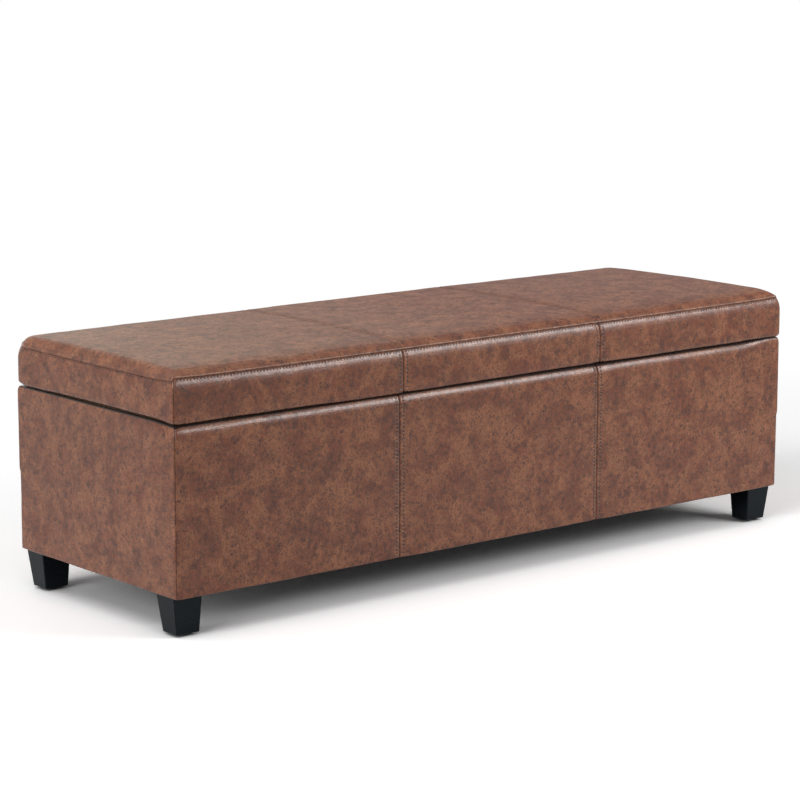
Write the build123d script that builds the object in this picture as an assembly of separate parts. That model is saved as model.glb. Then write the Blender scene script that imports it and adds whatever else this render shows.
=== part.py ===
from build123d import *
import math
import os

# Storage bench: X runs along its length, Y from front to back, Z up from the floor, in millimetres

# Overall sizes of the closed bench
LENGTH = 1219.0
DEPTH = 415.0
BASE_LOW = 60.0
BASE_TOP = 312.0
LID_LOW = 315.0
LID_SEAM = 376.0
LID_EDGE = 388.0
LID_CROWN = 3.0

# Half sizes of the lid, and of the base that stands a little inside it
LID_X = LENGTH / 2
LID_Y = DEPTH / 2
BASE_X = LID_X - 1.5
BASE_Y = LID_Y - 1.0

# Thicknesses of the layers
COVER = 1.2
BASE_PAD = 6.0
RIM_PAD = 4.0
PANEL = 18.0
FLOOR = 15.0
LID_PAD = 9.0
LID_BOARD = 12.0
LINING = 0.8

# Rounding of the upholstered edges
BASE_LOW_RADIUS = 7.0
BASE_TOP_RADIUS = 10.0
LID_LOW_RADIUS = 10.0
BAND_TOP = 384.0
BAND_TOP_RADIUS = 18.0
CAP_LOW = 371.0
CAP_INSET = 2.7
CAP_LOW_RADIUS = 7.0
CAP_TOP_RADIUS = 9.5
CAP_LENGTH_CROWN = 6.0

# Cover seams along X, and the width of cover turned in under and over the edges
BASE_SEAMS = (-201.0, 200.0)
LID_SEAMS = (-194.0, 203.0)
BASE_RETURN = 24.0
LID_RETURN = 28.0
LIP_LOW = 285.0
CHANNEL_DEPTH = 0.7
CHANNEL_WIDTH = 3.0

# Timber of the base and the lid
WOOD_X = BASE_X - COVER - BASE_PAD
WOOD_Y = BASE_Y - COVER - BASE_PAD
WOOD_LOW = BASE_LOW + COVER
WOOD_TOP = BASE_TOP - COVER - RIM_PAD
FLOOR_TOP = WOOD_LOW + FLOOR
ROOM_X = WOOD_X - PANEL
ROOM_Y = WOOD_Y - PANEL
POST = 20.0
POST_TOP = LIP_LOW - LINING
BOARD_X = LID_X - COVER - LID_PAD
BOARD_Y = LID_Y - COVER - LID_PAD
BOARD_LOW = LID_LOW + COVER
BOARD_TOP = BOARD_LOW + LID_BOARD
RAIL_WIDTH = 20.0
RAIL_HEIGHT = 28.0
RAIL_TOP = BOARD_TOP + RAIL_HEIGHT
EDGE_PAD_LOW = LID_LOW + 4.0

# Feet, measured inwards from the base's outer faces: outer and inner edge at the top and at the bottom
FOOT_LOW = 3.5
FOOT_TOP_SPAN_X = (3.0, 53.0)
FOOT_TOP_SPAN_Y = (12.0, 56.0)
FOOT_LOW_SPAN_X = (10.5, 50.5)
FOOT_LOW_SPAN_Y = (16.5, 51.5)
FOOT_CHAMFER = 1.2
GLIDE_RADIUS = 10.0
GLIDE_CHAMFER = 0.8
NAIL_RADIUS = 1.5
NAIL_LENGTH = 14.0
BOLT_RADIUS = 3.9
BOLT_INSET = (38.0, 37.0)
BOLT_LOW = 30.0
TEE_NUT_RADIUS = 5.0
TEE_NUT_LENGTH = 11.0
TEE_FLANGE_RADIUS = 9.0
TEE_FLANGE = 1.5
BOLT_CLEARANCE = 0.1

# Butt hinges in the groove at the back, open to LID_OPEN degrees
LID_OPEN = 100.0
HINGE_Y = 204.5
HINGE_Z = (BASE_TOP + LID_LOW) / 2
HINGE_PLACES = (-420.0, 0.0, 420.0)
HINGE_LENGTH = 75.0
KNUCKLES = 3
KNUCKLE_RADIUS = 2.8
KNUCKLE_GAP = 0.3
PIN_RADIUS = 1.4
PIN_GAP = 0.3
LEAF = 1.2
LEAF_FRONT = 182.0
LEAF_BACK = HINGE_Y - KNUCKLE_RADIUS - 0.4
LEAF_SCREWS = (-24.0, 24.0)
LEAF_SCREW_Y = 190.5

# Countersunk wood screws
SCREW_HEAD_RADIUS = 3.0
SCREW_HEAD = 1.2
SCREW_RADIUS = 1.8
LID_SCREW = 11.0
RIM_SCREW = 24.0
WALL_SCREW = 16.0

# Lid stays: a parallelogram of hinge pin, base stud, knuckle and lid stud, offset in Y and Z from that pin
STAY_BASE = (-75.0, -110.0)
STAY_LID = (-170.0, -9.5)
STAY_WIDTH = 14.0
STAY_PLATE = 2.5
BRACKET_PLATE = 2.0
STAY_GAP = 0.5
STUD_RADIUS = 3.0
STUD_GAP = 0.3
STUD_HEAD_RADIUS = 5.0
STUD_HEAD = 1.5
KNUCKLE_DISC = 14.5
STOP_RADIUS = 2.5
STOP_LEAD = 60.0
BRACKET_WIDTH = 24.0
BRACKET_HEIGHT = 48.0
BRACKET_SCREW = 16.0
LID_FLANGE = 22.5
LID_FLANGE_WIDTH = 34.0
LID_FLANGE_SCREW = 10.0

# Planes across X that the left stay's plates lie between, from the end wall inwards
BRACKET_X = -(ROOM_X - LINING)
ARM_X = BRACKET_X + BRACKET_PLATE + STAY_GAP
LINK_X = ARM_X + STAY_PLATE + STAY_GAP
TAB_X = LINK_X + STAY_PLATE + STAY_GAP

# Rubber bumpers on the rim
BUMPER_RADIUS = 6.0
BUMPER_PLACES = ((-300.0, -188.5), (300.0, -188.5), (-589.8, -60.0), (589.8, -60.0))

# Signs of the sides, turns that point a screw or foot up, down or at the left end wall, and cutting overlap
SIDES = {"left": -1, "right": 1}
ENDS = {"front": -1, "back": 1}
UPWARDS = Rot(180, 0, 0)
DOWNWARDS = Rot(-90, 0, 0)
OUTWARDS = Rot(0, 90, 0)
MARGIN = 5.0

# Flat sides of the small round pieces that nothing turns on: fixings out of sight, pads and heads in sight
HIDDEN_SIDES = 8
SEEN_SIDES = 20


def block(x_span, y_span, z_span):
    """Box between two limits along each axis."""
    size = [span[1] - span[0] for span in (x_span, y_span, z_span)]
    middle = [(span[1] + span[0]) / 2 for span in (x_span, y_span, z_span)]
    return Pos(*middle) * Box(*size)


def centred(half_x, half_y, low, top):
    """Box about the vertical axis."""
    return block((-half_x, half_x), (-half_y, half_y), (low, top))


def prism(x, y, low, top, radius, sides=HIDDEN_SIDES):
    """Upright rod with flat sides."""
    return extrude(Pos(x, y, low) * RegularPolygon(radius, sides), amount=top - low)


def cross_prism(x_span, y, z, radius):
    """Rod along X with flat sides."""
    outline = Plane.YZ.offset(x_span[0]) * Pos(y, z) * RegularPolygon(radius, SEEN_SIDES)
    return extrude(outline, amount=x_span[1] - x_span[0])


def cross_rod(x_span, y, z, radius):
    """Cylinder along X."""
    return Pos(sum(x_span) / 2, y, z) * Rot(0, 90, 0) * Cylinder(radius, x_span[1] - x_span[0])


def padded_box(half_x, half_y, low, top, low_radius, top_radius):
    """Upholstered box: rounded along its lower and upper edges, with sewn upright corners."""
    box = centred(half_x, half_y, low, top)
    box = fillet(box.faces().sort_by(Axis.Z)[0].edges(), low_radius)
    return fillet(box.faces().sort_by(Axis.Z)[-1].edges(), top_radius)


def crowned_profile(half_width, low, edge, crown, low_radius, edge_radius):
    """Upright section with rounded corners and a roof that rises by crown at its middle."""
    walls = Polyline((half_width, edge), (half_width, low), (-half_width, low), (-half_width, edge))
    roof = ThreePointArc((-half_width, edge), (0, edge + crown), (half_width, edge))
    face = make_face(walls.edges() + roof.edges())
    face = fillet(face.vertices().group_by(Axis.Y)[0], low_radius)
    return fillet(face.vertices().group_by(Axis.Y)[-1], edge_radius)


def base_form(inset):
    """Outside of the base, drawn in by inset."""
    return padded_box(BASE_X - inset, BASE_Y - inset, BASE_LOW + inset, BASE_TOP - inset,
                      BASE_LOW_RADIUS - inset, BASE_TOP_RADIUS - inset)


def band_form(inset):
    """Outside of the lid's upright band, drawn in by inset."""
    return padded_box(LID_X - inset, LID_Y - inset, LID_LOW + inset, BAND_TOP - inset,
                      LID_LOW_RADIUS - inset, BAND_TOP_RADIUS - inset)


def cap_form(inset):
    """Outside of the lid's crowned top, drawn in by inset: where its two crowned sections cross."""
    half_x, half_y = LID_X - CAP_INSET - inset, LID_Y - CAP_INSET - inset
    heights = CAP_LOW + inset, LID_EDGE - inset
    radii = CAP_LOW_RADIUS - inset, CAP_TOP_RADIUS - inset
    across = crowned_profile(half_y, *heights, LID_CROWN, *radii)
    along = crowned_profile(half_x, *heights, CAP_LENGTH_CROWN, *radii)
    bar = extrude(Plane.YZ * across, amount=half_x + MARGIN, both=True)
    wall = extrude(Plane.XZ * along, amount=half_y + MARGIN, both=True)
    above_seam = centred(LID_X, LID_Y, LID_SEAM, LID_EDGE + CAP_LENGTH_CROWN)
    return (bar & above_seam) & (wall & above_seam)


def long_wedge(half_x, half_y, side):
    """Plan area of the front (-1) or back (1) cover, mitred to the corners."""
    reach, width = side * (half_y + MARGIN), half_x + MARGIN
    ridge = half_x - half_y
    outline = Polyline((-width, reach), (width, reach), (ridge, 0), (-ridge, 0), close=True)
    return extrude(make_face(outline), amount=LID_EDGE)


def end_wedge(half_x, half_y, side):
    """Plan area of the left (-1) or right (1) end cover, mitred to the corners."""
    reach, width = half_y + MARGIN, side * (half_x + MARGIN)
    outline = Polyline((width, -reach), (width, reach), (side * (half_x - half_y), 0), close=True)
    return extrude(make_face(outline), amount=LID_EDGE)


def across_slice(x_span):
    """Everything between two planes across X."""
    return block(x_span, (-DEPTH, DEPTH), (0, LID_EDGE + CAP_LENGTH_CROWN))


def thirds(cover, form, seams):
    """Three panels of a cover, with a shallow channel in its form along each of the two seams."""
    skin = form(0) - form(CHANNEL_DEPTH)
    for seam in seams:
        cover -= skin & across_slice((seam - CHANNEL_WIDTH / 2, seam + CHANNEL_WIDTH / 2))
    limits = (-LENGTH, *seams, LENGTH)
    names = ("left", "centre", "right")
    return {name: cover & across_slice((limits[i], limits[i + 1])) for i, name in enumerate(names)}


def corners():
    """The four corner directions, with their names."""
    return {f"{end}_{side}": (SIDES[side], ENDS[end]) for end in ENDS for side in SIDES}


def bolt_place(corner):
    """Axis of a foot's bolt."""
    return corner[0] * (BASE_X - BOLT_INSET[0]), corner[1] * (BASE_Y - BOLT_INSET[1])


# Timber box of the base
def floor_panel():
    """Full floor board, bored and counterbored for the tee nuts."""
    board = centred(WOOD_X, WOOD_Y, WOOD_LOW, FLOOR_TOP)
    for corner in corners().values():
        x, y = bolt_place(corner)
        board -= prism(x, y, WOOD_LOW, FLOOR_TOP, TEE_NUT_RADIUS + BOLT_CLEARANCE)
        board -= prism(x, y, FLOOR_TOP - TEE_FLANGE, FLOOR_TOP, TEE_FLANGE_RADIUS + BOLT_CLEARANCE)
    return board


def long_panel(end):
    """Front or back panel, standing on the floor panel over its whole length."""
    y_span = sorted((ENDS[end] * ROOM_Y, ENDS[end] * WOOD_Y))
    return block((-WOOD_X, WOOD_X), y_span, (FLOOR_TOP, WOOD_TOP))


def end_panel(side):
    """End panel between the long panels."""
    x_span = sorted((SIDES[side] * ROOM_X, SIDES[side] * WOOD_X))
    return block(x_span, (-ROOM_Y, ROOM_Y), (FLOOR_TOP, WOOD_TOP))


def corner_posts():
    """Glued posts in the four inner corners, below the turned-in cover."""
    posts = []
    for sign_x, sign_y in corners().values():
        x_span = sorted((sign_x * (ROOM_X - POST), sign_x * ROOM_X))
        y_span = sorted((sign_y * (ROOM_Y - POST), sign_y * ROOM_Y))
        posts.append(block(x_span, y_span, (FLOOR_TOP, POST_TOP)))
    return posts


# Soft layers of the base
def base_padding():
    """Padding on the four sides, rolled over the rim, as one ring before it is cut at the corners."""
    ring = base_form(COVER) - centred(WOOD_X, WOOD_Y, BASE_LOW, WOOD_TOP)
    ring -= centred(ROOM_X, ROOM_Y, BASE_LOW, BASE_TOP)
    return ring & centred(BASE_X, BASE_Y, BASE_LOW + BASE_LOW_RADIUS, BASE_TOP)


def base_cover():
    """Cover of the base with its lip inside the rim and its return under the floor, before it is cut up."""
    lip = centred(ROOM_X, ROOM_Y, LIP_LOW, BASE_TOP - COVER)
    ring = base_form(0) - base_form(COVER) + lip
    ring -= centred(ROOM_X - COVER, ROOM_Y - COVER, LIP_LOW - MARGIN, BASE_TOP + MARGIN)
    return ring - centred(BASE_X - BASE_RETURN, BASE_Y - BASE_RETURN, BASE_LOW - MARGIN, WOOD_LOW + MARGIN)


def storage_lining():
    """Lining of the floor and walls, drawn in round the corner posts and over their tops."""
    inner = Rectangle(2 * (ROOM_X - LINING), 2 * (ROOM_Y - LINING))
    for sign_x, sign_y in corners().values():
        inner -= Pos(sign_x * ROOM_X, sign_y * ROOM_Y) * Rectangle(2 * (POST + LINING), 2 * (POST + LINING))
    sleeve = centred(ROOM_X, ROOM_Y, FLOOR_TOP, LIP_LOW)
    sleeve -= extrude(Pos(0, 0, FLOOR_TOP + LINING) * inner, amount=LIP_LOW - FLOOR_TOP)
    for post in corner_posts():
        sleeve -= post
    return sleeve


def dust_cover():
    """Cloth under the floor, inside the cover's return, pierced by the bolts."""
    cloth = centred(BASE_X - BASE_RETURN, BASE_Y - BASE_RETURN, BASE_LOW, WOOD_LOW)
    for corner in corners().values():
        cloth -= prism(*bolt_place(corner), BASE_LOW, WOOD_LOW, TEE_NUT_RADIUS)
    return cloth


# Feet and their fixings
def foot_limits(outer_face, side, spans):
    """Limits of a foot along one axis at its top, and at its bottom counted from the top's lower limit."""
    top, low = (sorted(side * (outer_face - inset) for inset in span) for span in spans)
    return top, [limit - top[0] for limit in low]


def glide_place(corner):
    """Centre of a foot's lower face."""
    return corner[0] * (BASE_X - sum(FOOT_LOW_SPAN_X) / 2), corner[1] * (BASE_Y - sum(FOOT_LOW_SPAN_Y) / 2)


def foot(corner):
    """Tapered block foot that leans in a little, bored for its bolt and its glide's nail."""
    top_x, low_x = foot_limits(BASE_X, corner[0], (FOOT_TOP_SPAN_X, FOOT_LOW_SPAN_X))
    top_y, low_y = foot_limits(BASE_Y, corner[1], (FOOT_TOP_SPAN_Y, FOOT_LOW_SPAN_Y))
    body = Wedge(top_x[1] - top_x[0], BASE_LOW - FOOT_LOW, top_y[1] - top_y[0],
                 low_x[0], low_y[0], low_x[1], low_y[1], align=(Align.MIN, Align.MIN, Align.MIN))
    body = Pos(top_x[0], top_y[0], BASE_LOW) * DOWNWARDS * body
    seat_edges = body.faces().sort_by(Axis.Z)[-1].edges()
    body = chamfer([edge for edge in body.edges() if edge not in seat_edges], FOOT_CHAMFER)
    bolt_bore, nail_bore = BOLT_RADIUS + BOLT_CLEARANCE, NAIL_RADIUS + BOLT_CLEARANCE
    body -= prism(*bolt_place(corner), BOLT_LOW - MARGIN, BASE_LOW, bolt_bore)
    return body - prism(*glide_place(corner), FOOT_LOW, NAIL_LENGTH + MARGIN, nail_bore)


def foot_glide(corner):
    """Round nail-on glide with a flat underside."""
    x, y = glide_place(corner)
    disc = prism(x, y, 0, FOOT_LOW, GLIDE_RADIUS, SEEN_SIDES)
    disc = chamfer(disc.edges().group_by(Axis.Z)[0], GLIDE_CHAMFER)
    return disc + prism(x, y, FOOT_LOW, NAIL_LENGTH, NAIL_RADIUS)


def foot_bolt(corner):
    """Bolt from the foot up into its tee nut."""
    return prism(*bolt_place(corner), BOLT_LOW, FLOOR_TOP - TEE_FLANGE, BOLT_RADIUS)


def tee_nut(corner):
    """Flanged nut let into the floor panel."""
    x, y = bolt_place(corner)
    nut = prism(x, y, FLOOR_TOP - TEE_NUT_LENGTH, FLOOR_TOP, TEE_NUT_RADIUS)
    nut += prism(x, y, FLOOR_TOP - TEE_FLANGE, FLOOR_TOP, TEE_FLANGE_RADIUS)
    return nut - prism(x, y, FLOOR_TOP - TEE_NUT_LENGTH, FLOOR_TOP, BOLT_RADIUS + BOLT_CLEARANCE)


# Hinges
def hinge_leaf(middle, z_span, first, bore):
    """Leaf with every second knuckle, counted from first, rolled round the pin."""
    start = middle - HINGE_LENGTH / 2
    pitch = HINGE_LENGTH / KNUCKLES
    leaf = block((start, start + HINGE_LENGTH), (LEAF_FRONT, LEAF_BACK), z_span)
    for index in range(first, KNUCKLES, 2):
        x_span = (start + index * pitch + KNUCKLE_GAP / 2, start + (index + 1) * pitch - KNUCKLE_GAP / 2)
        leaf += block(x_span, (LEAF_BACK, HINGE_Y), z_span)
        leaf += cross_rod(x_span, HINGE_Y, HINGE_Z, KNUCKLE_RADIUS)
    return leaf - cross_rod((start, start + HINGE_LENGTH), HINGE_Y, HINGE_Z, bore)


def hinge_base_leaf(middle):
    """Leaf on the base's rim, which holds the pin."""
    leaf = hinge_leaf(middle, (BASE_TOP, BASE_TOP + LEAF), 0, PIN_RADIUS)
    for offset in LEAF_SCREWS:
        leaf -= screw_at(Pos(middle + offset, LEAF_SCREW_Y, BASE_TOP + LEAF), RIM_SCREW)
    return leaf


def hinge_lid_leaf(middle):
    """Leaf under the lid, which turns on the pin."""
    leaf = hinge_leaf(middle, (LID_LOW - LEAF, LID_LOW), 1, PIN_RADIUS + PIN_GAP)
    for offset in LEAF_SCREWS:
        leaf -= screw_at(Pos(middle + offset, LEAF_SCREW_Y, LID_LOW - LEAF) * UPWARDS, LID_SCREW)
    return leaf


def hinge_pin(middle):
    """Pin through the knuckles."""
    return cross_rod((middle - HINGE_LENGTH / 2, middle + HINGE_LENGTH / 2), HINGE_Y, HINGE_Z, PIN_RADIUS)


def screw_at(place, length):
    """Countersunk screw whose head lies in the local XY plane and whose point is down."""
    head = prism(0, 0, -SCREW_HEAD, 0, SCREW_HEAD_RADIUS)
    bevel = (SCREW_HEAD_RADIUS - SCREW_RADIUS) * math.cos(math.pi / HIDDEN_SIDES)
    head = chamfer(head.edges().group_by(Axis.Z)[0], bevel)
    return place * (head + prism(0, 0, -length, -SCREW_HEAD, SCREW_RADIUS))


def hinge_screw_places():
    """X of every hinge screw."""
    return [middle + offset for middle in HINGE_PLACES for offset in LEAF_SCREWS]


def hinge_base_screws():
    """Screws through the base leaves into the back panel."""
    return [screw_at(Pos(x, LEAF_SCREW_Y, BASE_TOP + LEAF), RIM_SCREW) for x in hinge_screw_places()]


def hinge_lid_screws():
    """Screws through the lid leaves into the lid board."""
    return [screw_at(Pos(x, LEAF_SCREW_Y, LID_LOW - LEAF) * UPWARDS, LID_SCREW) for x in hinge_screw_places()]


# Lid stays, drawn for the left end and mirrored for the right
def stay_point(*offsets):
    """Point in Y and Z at the sum of some offsets from the hinge pin."""
    return HINGE_Y + sum(o[0] for o in offsets), HINGE_Z + sum(o[1] for o in offsets)


def for_side(side, shape):
    """Shape of the left end, mirrored if the right one is asked for."""
    return shape if side == "left" else mirror(shape, about=Plane.YZ)


def bar_plate(x, start, finish):
    """Flat bar with round ends between two points of an upright plane."""
    run = (finish[0] - start[0], finish[1] - start[1])
    middle = Pos((start[0] + finish[0]) / 2, (start[1] + finish[1]) / 2)
    turn = Rot(0, 0, math.degrees(math.atan2(run[1], run[0])))
    slot = middle * turn * SlotCenterToCenter(math.hypot(*run), STAY_WIDTH)
    return extrude(Plane.YZ.offset(x) * slot, amount=STAY_PLATE)


def stud(x, point, direction):
    """Headed stud across one plate and its gaps, from a face at x."""
    length = STAY_PLATE + 2 * STAY_GAP
    shank = cross_rod(sorted((x, x + direction * length)), *point, STUD_RADIUS)
    head_x = x + direction * length
    return shank + cross_prism(sorted((head_x, head_x + direction * STUD_HEAD)), *point, STUD_HEAD_RADIUS)


def eye(x, point):
    """Hole for a stud through a plate that starts at x."""
    return cross_rod((x, x + STAY_PLATE), *point, STUD_RADIUS + STUD_GAP)


def stay_base_bracket():
    """Plate screwed to the end wall, with the stud that the arm turns on."""
    y, z = stay_point(STAY_BASE)
    half_y, half_z = BRACKET_WIDTH / 2, BRACKET_HEIGHT / 2
    plate = block((BRACKET_X, BRACKET_X + BRACKET_PLATE), (y - half_y, y + half_y), (z - half_z, z + half_z))
    plate = fillet(plate.edges().filter_by(Axis.X), half_y / 2)
    for screw in stay_base_screws():
        plate -= screw
    return plate + stud(BRACKET_X + BRACKET_PLATE, (y, z), 1)


def stay_base_screws():
    """Screws through the left base bracket into the end panel."""
    y, z = stay_point(STAY_BASE)
    face = BRACKET_X + BRACKET_PLATE
    return [screw_at(Pos(face, y, z + side * BRACKET_SCREW) * OUTWARDS, WALL_SCREW) for side in (-1, 1)]


def stay_arm():
    """Lower arm with the knuckle's stud and the stop that ends the lid's travel."""
    base, knuckle = stay_point(STAY_BASE), stay_point(STAY_BASE, STAY_LID)
    arm = bar_plate(ARM_X, base, knuckle) + cross_rod((ARM_X, ARM_X + STAY_PLATE), *knuckle, KNUCKLE_DISC)
    link_angle = math.degrees(math.atan2(-STAY_BASE[1], -STAY_BASE[0]))
    stop_angle = math.radians(link_angle + LID_OPEN + STOP_LEAD)
    reach = (STAY_WIDTH / 2 + STOP_RADIUS + STUD_GAP) / math.sin(math.radians(STOP_LEAD))
    stop = (knuckle[0] + reach * math.cos(stop_angle), knuckle[1] + reach * math.sin(stop_angle))
    arm += cross_prism((ARM_X + STAY_PLATE, LINK_X + STAY_PLATE), *stop, STOP_RADIUS)
    return arm - eye(ARM_X, base) + stud(ARM_X + STAY_PLATE, knuckle, 1)


def stay_link():
    """Upper link from the knuckle to the lid."""
    knuckle, lid = stay_point(STAY_BASE, STAY_LID), stay_point(STAY_LID)
    return bar_plate(LINK_X, knuckle, lid) - eye(LINK_X, knuckle) - eye(LINK_X, lid)


def stay_lid_bracket():
    """Angle bracket under the lid, with the stud that the link hangs on."""
    y, z = stay_point(STAY_LID)
    half = STAY_WIDTH / 2
    tab = block((TAB_X, TAB_X + STAY_PLATE), (y - half, y + half), (z, LID_LOW))
    tab += cross_rod((TAB_X, TAB_X + STAY_PLATE), y, z, half)
    reach = LID_FLANGE_WIDTH / 2
    tab += block((TAB_X, TAB_X + LID_FLANGE), (y - reach, y + reach), (LID_LOW - BRACKET_PLATE, LID_LOW))
    for screw in stay_lid_screws():
        tab -= screw
    return tab + stud(TAB_X, (y, z), -1)


def stay_lid_screws():
    """Screws through the left lid bracket into the lid board."""
    y = stay_point(STAY_LID)[0]
    x = TAB_X + LID_FLANGE / 2 + STAY_PLATE / 2
    low = LID_LOW - BRACKET_PLATE
    return [screw_at(Pos(x, y + side * LID_FLANGE_SCREW, low) * UPWARDS, LID_SCREW) for side in (-1, 1)]


def rim_bumpers():
    """Pads that hold the closed lid off the rim."""
    return [prism(x, y, BASE_TOP, LID_LOW, BUMPER_RADIUS, SEEN_SIDES) for x, y in BUMPER_PLACES]


# Lid core
def lid_board():
    """Board under the whole lid."""
    return centred(BOARD_X, BOARD_Y, BOARD_LOW, BOARD_TOP)


def lid_long_rail(end):
    """Front or back edge rail on the lid board."""
    y_span = sorted((ENDS[end] * (BOARD_Y - RAIL_WIDTH), ENDS[end] * BOARD_Y))
    return block((-BOARD_X, BOARD_X), y_span, (BOARD_TOP, RAIL_TOP))


def lid_end_rail(side):
    """End rail between the long rails."""
    x_span = sorted((SIDES[side] * (BOARD_X - RAIL_WIDTH), SIDES[side] * BOARD_X))
    return block(x_span, (RAIL_WIDTH - BOARD_Y, BOARD_Y - RAIL_WIDTH), (BOARD_TOP, RAIL_TOP))


# Soft layers of the lid
def lid_foam():
    """Foam block that fills the tray of rails and stands over them up to the seam."""
    over = band_form(COVER) & centred(LID_X, LID_Y, RAIL_TOP, LID_SEAM)
    return over + centred(BOARD_X - RAIL_WIDTH, BOARD_Y - RAIL_WIDTH, BOARD_TOP, RAIL_TOP)


def lid_wadding():
    """Soft crowned layer over the foam."""
    return cap_form(COVER)


def lid_edge_padding():
    """Padding round the board and rails."""
    ring = band_form(COVER) & centred(LID_X, LID_Y, EDGE_PAD_LOW, RAIL_TOP)
    return ring - centred(BOARD_X, BOARD_Y, BOARD_LOW, RAIL_TOP)


def lid_band():
    """Upright cover round the lid with its return underneath, before it is cut into panels."""
    ring = (band_form(0) - band_form(COVER)) & centred(LID_X, LID_Y, LID_LOW, LID_SEAM)
    return ring - centred(LID_X - LID_RETURN, LID_Y - LID_RETURN, LID_LOW - MARGIN, BOARD_LOW + MARGIN)


def lid_top():
    """Crowned seat cover, before it is cut into panels."""
    return cap_form(0) - cap_form(COVER)


def lid_lining():
    """Lining under the lid, inside the cover's return."""
    return centred(LID_X - LID_RETURN, LID_Y - LID_RETURN, LID_LOW, BOARD_LOW)


# All pieces, each under the name of its node
def base_timber():
    """Panels and posts of the base."""
    pieces = {"floor_panel": [floor_panel()], "corner_posts": corner_posts()}
    for end in ENDS:
        pieces[f"{end}_panel"] = [long_panel(end)]
    for side in SIDES:
        pieces[f"{side}_end_panel"] = [end_panel(side)]
    return pieces


def base_upholstery():
    """Padding, covers and linings of the base."""
    padding, cover = base_padding(), base_cover()
    pieces = {"storage_lining": [storage_lining()], "dust_cover": [dust_cover()]}
    for end, sign in ENDS.items():
        pieces[f"{end}_padding"] = [padding & long_wedge(BASE_X, BASE_Y, sign)]
    for side, sign in SIDES.items():
        pieces[f"{side}_end_padding"] = [padding & end_wedge(BASE_X, BASE_Y, sign)]
        pieces[f"{side}_end_cover"] = [cover & end_wedge(BASE_X, BASE_Y, sign)]
    pieces["back_cover"] = [cover & long_wedge(BASE_X, BASE_Y, ENDS["back"])]
    front = cover & long_wedge(BASE_X, BASE_Y, ENDS["front"])
    for name, panel in thirds(front, base_form, BASE_SEAMS).items():
        pieces[f"front_cover_{name}"] = [panel]
    return pieces


def feet():
    """Feet, and their glides, bolts and tee nuts as groups."""
    pieces = {f"{name}_foot": [foot(corner)] for name, corner in corners().items()}
    for group, maker in (("foot_glides", foot_glide), ("foot_bolts", foot_bolt), ("foot_tee_nuts", tee_nut)):
        pieces[group] = [maker(corner) for corner in corners().values()]
    return pieces


def hinges():
    """Leaves, pins and screws of the three hinges."""
    return {
        "hinge_base_leaves": [hinge_base_leaf(middle) for middle in HINGE_PLACES],
        "hinge_lid_leaves": [hinge_lid_leaf(middle) for middle in HINGE_PLACES],
        "hinge_pins": [hinge_pin(middle) for middle in HINGE_PLACES],
        "hinge_base_screws": hinge_base_screws(),
        "hinge_lid_screws": hinge_lid_screws(),
    }


def stays():
    """Two mirrored lid stays, and the bumpers that meet the closed lid."""
    pieces = {"rim_bumpers": rim_bumpers(), "stay_base_screws": [], "stay_lid_screws": []}
    makers = {
        "base_bracket": stay_base_bracket,
        "arm": stay_arm,
        "link": stay_link,
        "lid_bracket": stay_lid_bracket,
    }
    for side in SIDES:
        for name, maker in makers.items():
            pieces[f"{side}_stay_{name}"] = [for_side(side, maker())]
        pieces["stay_base_screws"] += [for_side(side, screw) for screw in stay_base_screws()]
        pieces["stay_lid_screws"] += [for_side(side, screw) for screw in stay_lid_screws()]
    return pieces


def lid_core():
    """Board and rails of the lid."""
    pieces = {"lid_board": [lid_board()]}
    for end in ENDS:
        pieces[f"lid_{end}_rail"] = [lid_long_rail(end)]
    for side in SIDES:
        pieces[f"lid_{side}_rail"] = [lid_end_rail(side)]
    return pieces


def lid_upholstery():
    """Foam, padding, covers and lining of the lid."""
    pieces = {
        "lid_foam": [lid_foam()],
        "lid_wadding": [lid_wadding()],
        "lid_edge_padding": [lid_edge_padding()],
        "lid_lining": [lid_lining()],
    }
    band = lid_band()
    for side, sign in SIDES.items():
        pieces[f"lid_{side}_end_cover"] = [band & end_wedge(LID_X, LID_Y, sign)]
    pieces["lid_back_cover"] = [band & long_wedge(LID_X, LID_Y, ENDS["back"])]
    front = band & long_wedge(LID_X, LID_Y, ENDS["front"])
    for name, panel in thirds(front, band_form, LID_SEAMS).items():
        pieces[f"lid_front_cover_{name}"] = [panel]
    for name, panel in thirds(lid_top(), cap_form, LID_SEAMS).items():
        pieces[f"lid_top_cover_{name}"] = [panel]
    return pieces


def main():
    """Write every piece to its own file."""
    os.makedirs("parts", exist_ok=True)
    for section in (base_timber, base_upholstery, feet, hinges, stays, lid_core, lid_upholstery):
        for name, shapes in section().items():
            solids = [solid for shape in shapes for solid in shape.solids()]
            piece = solids[0] if len(solids) == 1 else Compound(solids)
            export_step(piece, f"parts/{name}.step")


main()
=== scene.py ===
import math

import bmesh
import bpy
from bpy.props import FloatProperty, FloatVectorProperty, PointerProperty
from mathutils import Matrix, Vector, noise
from mathutils.bvhtree import BVHTree


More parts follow.
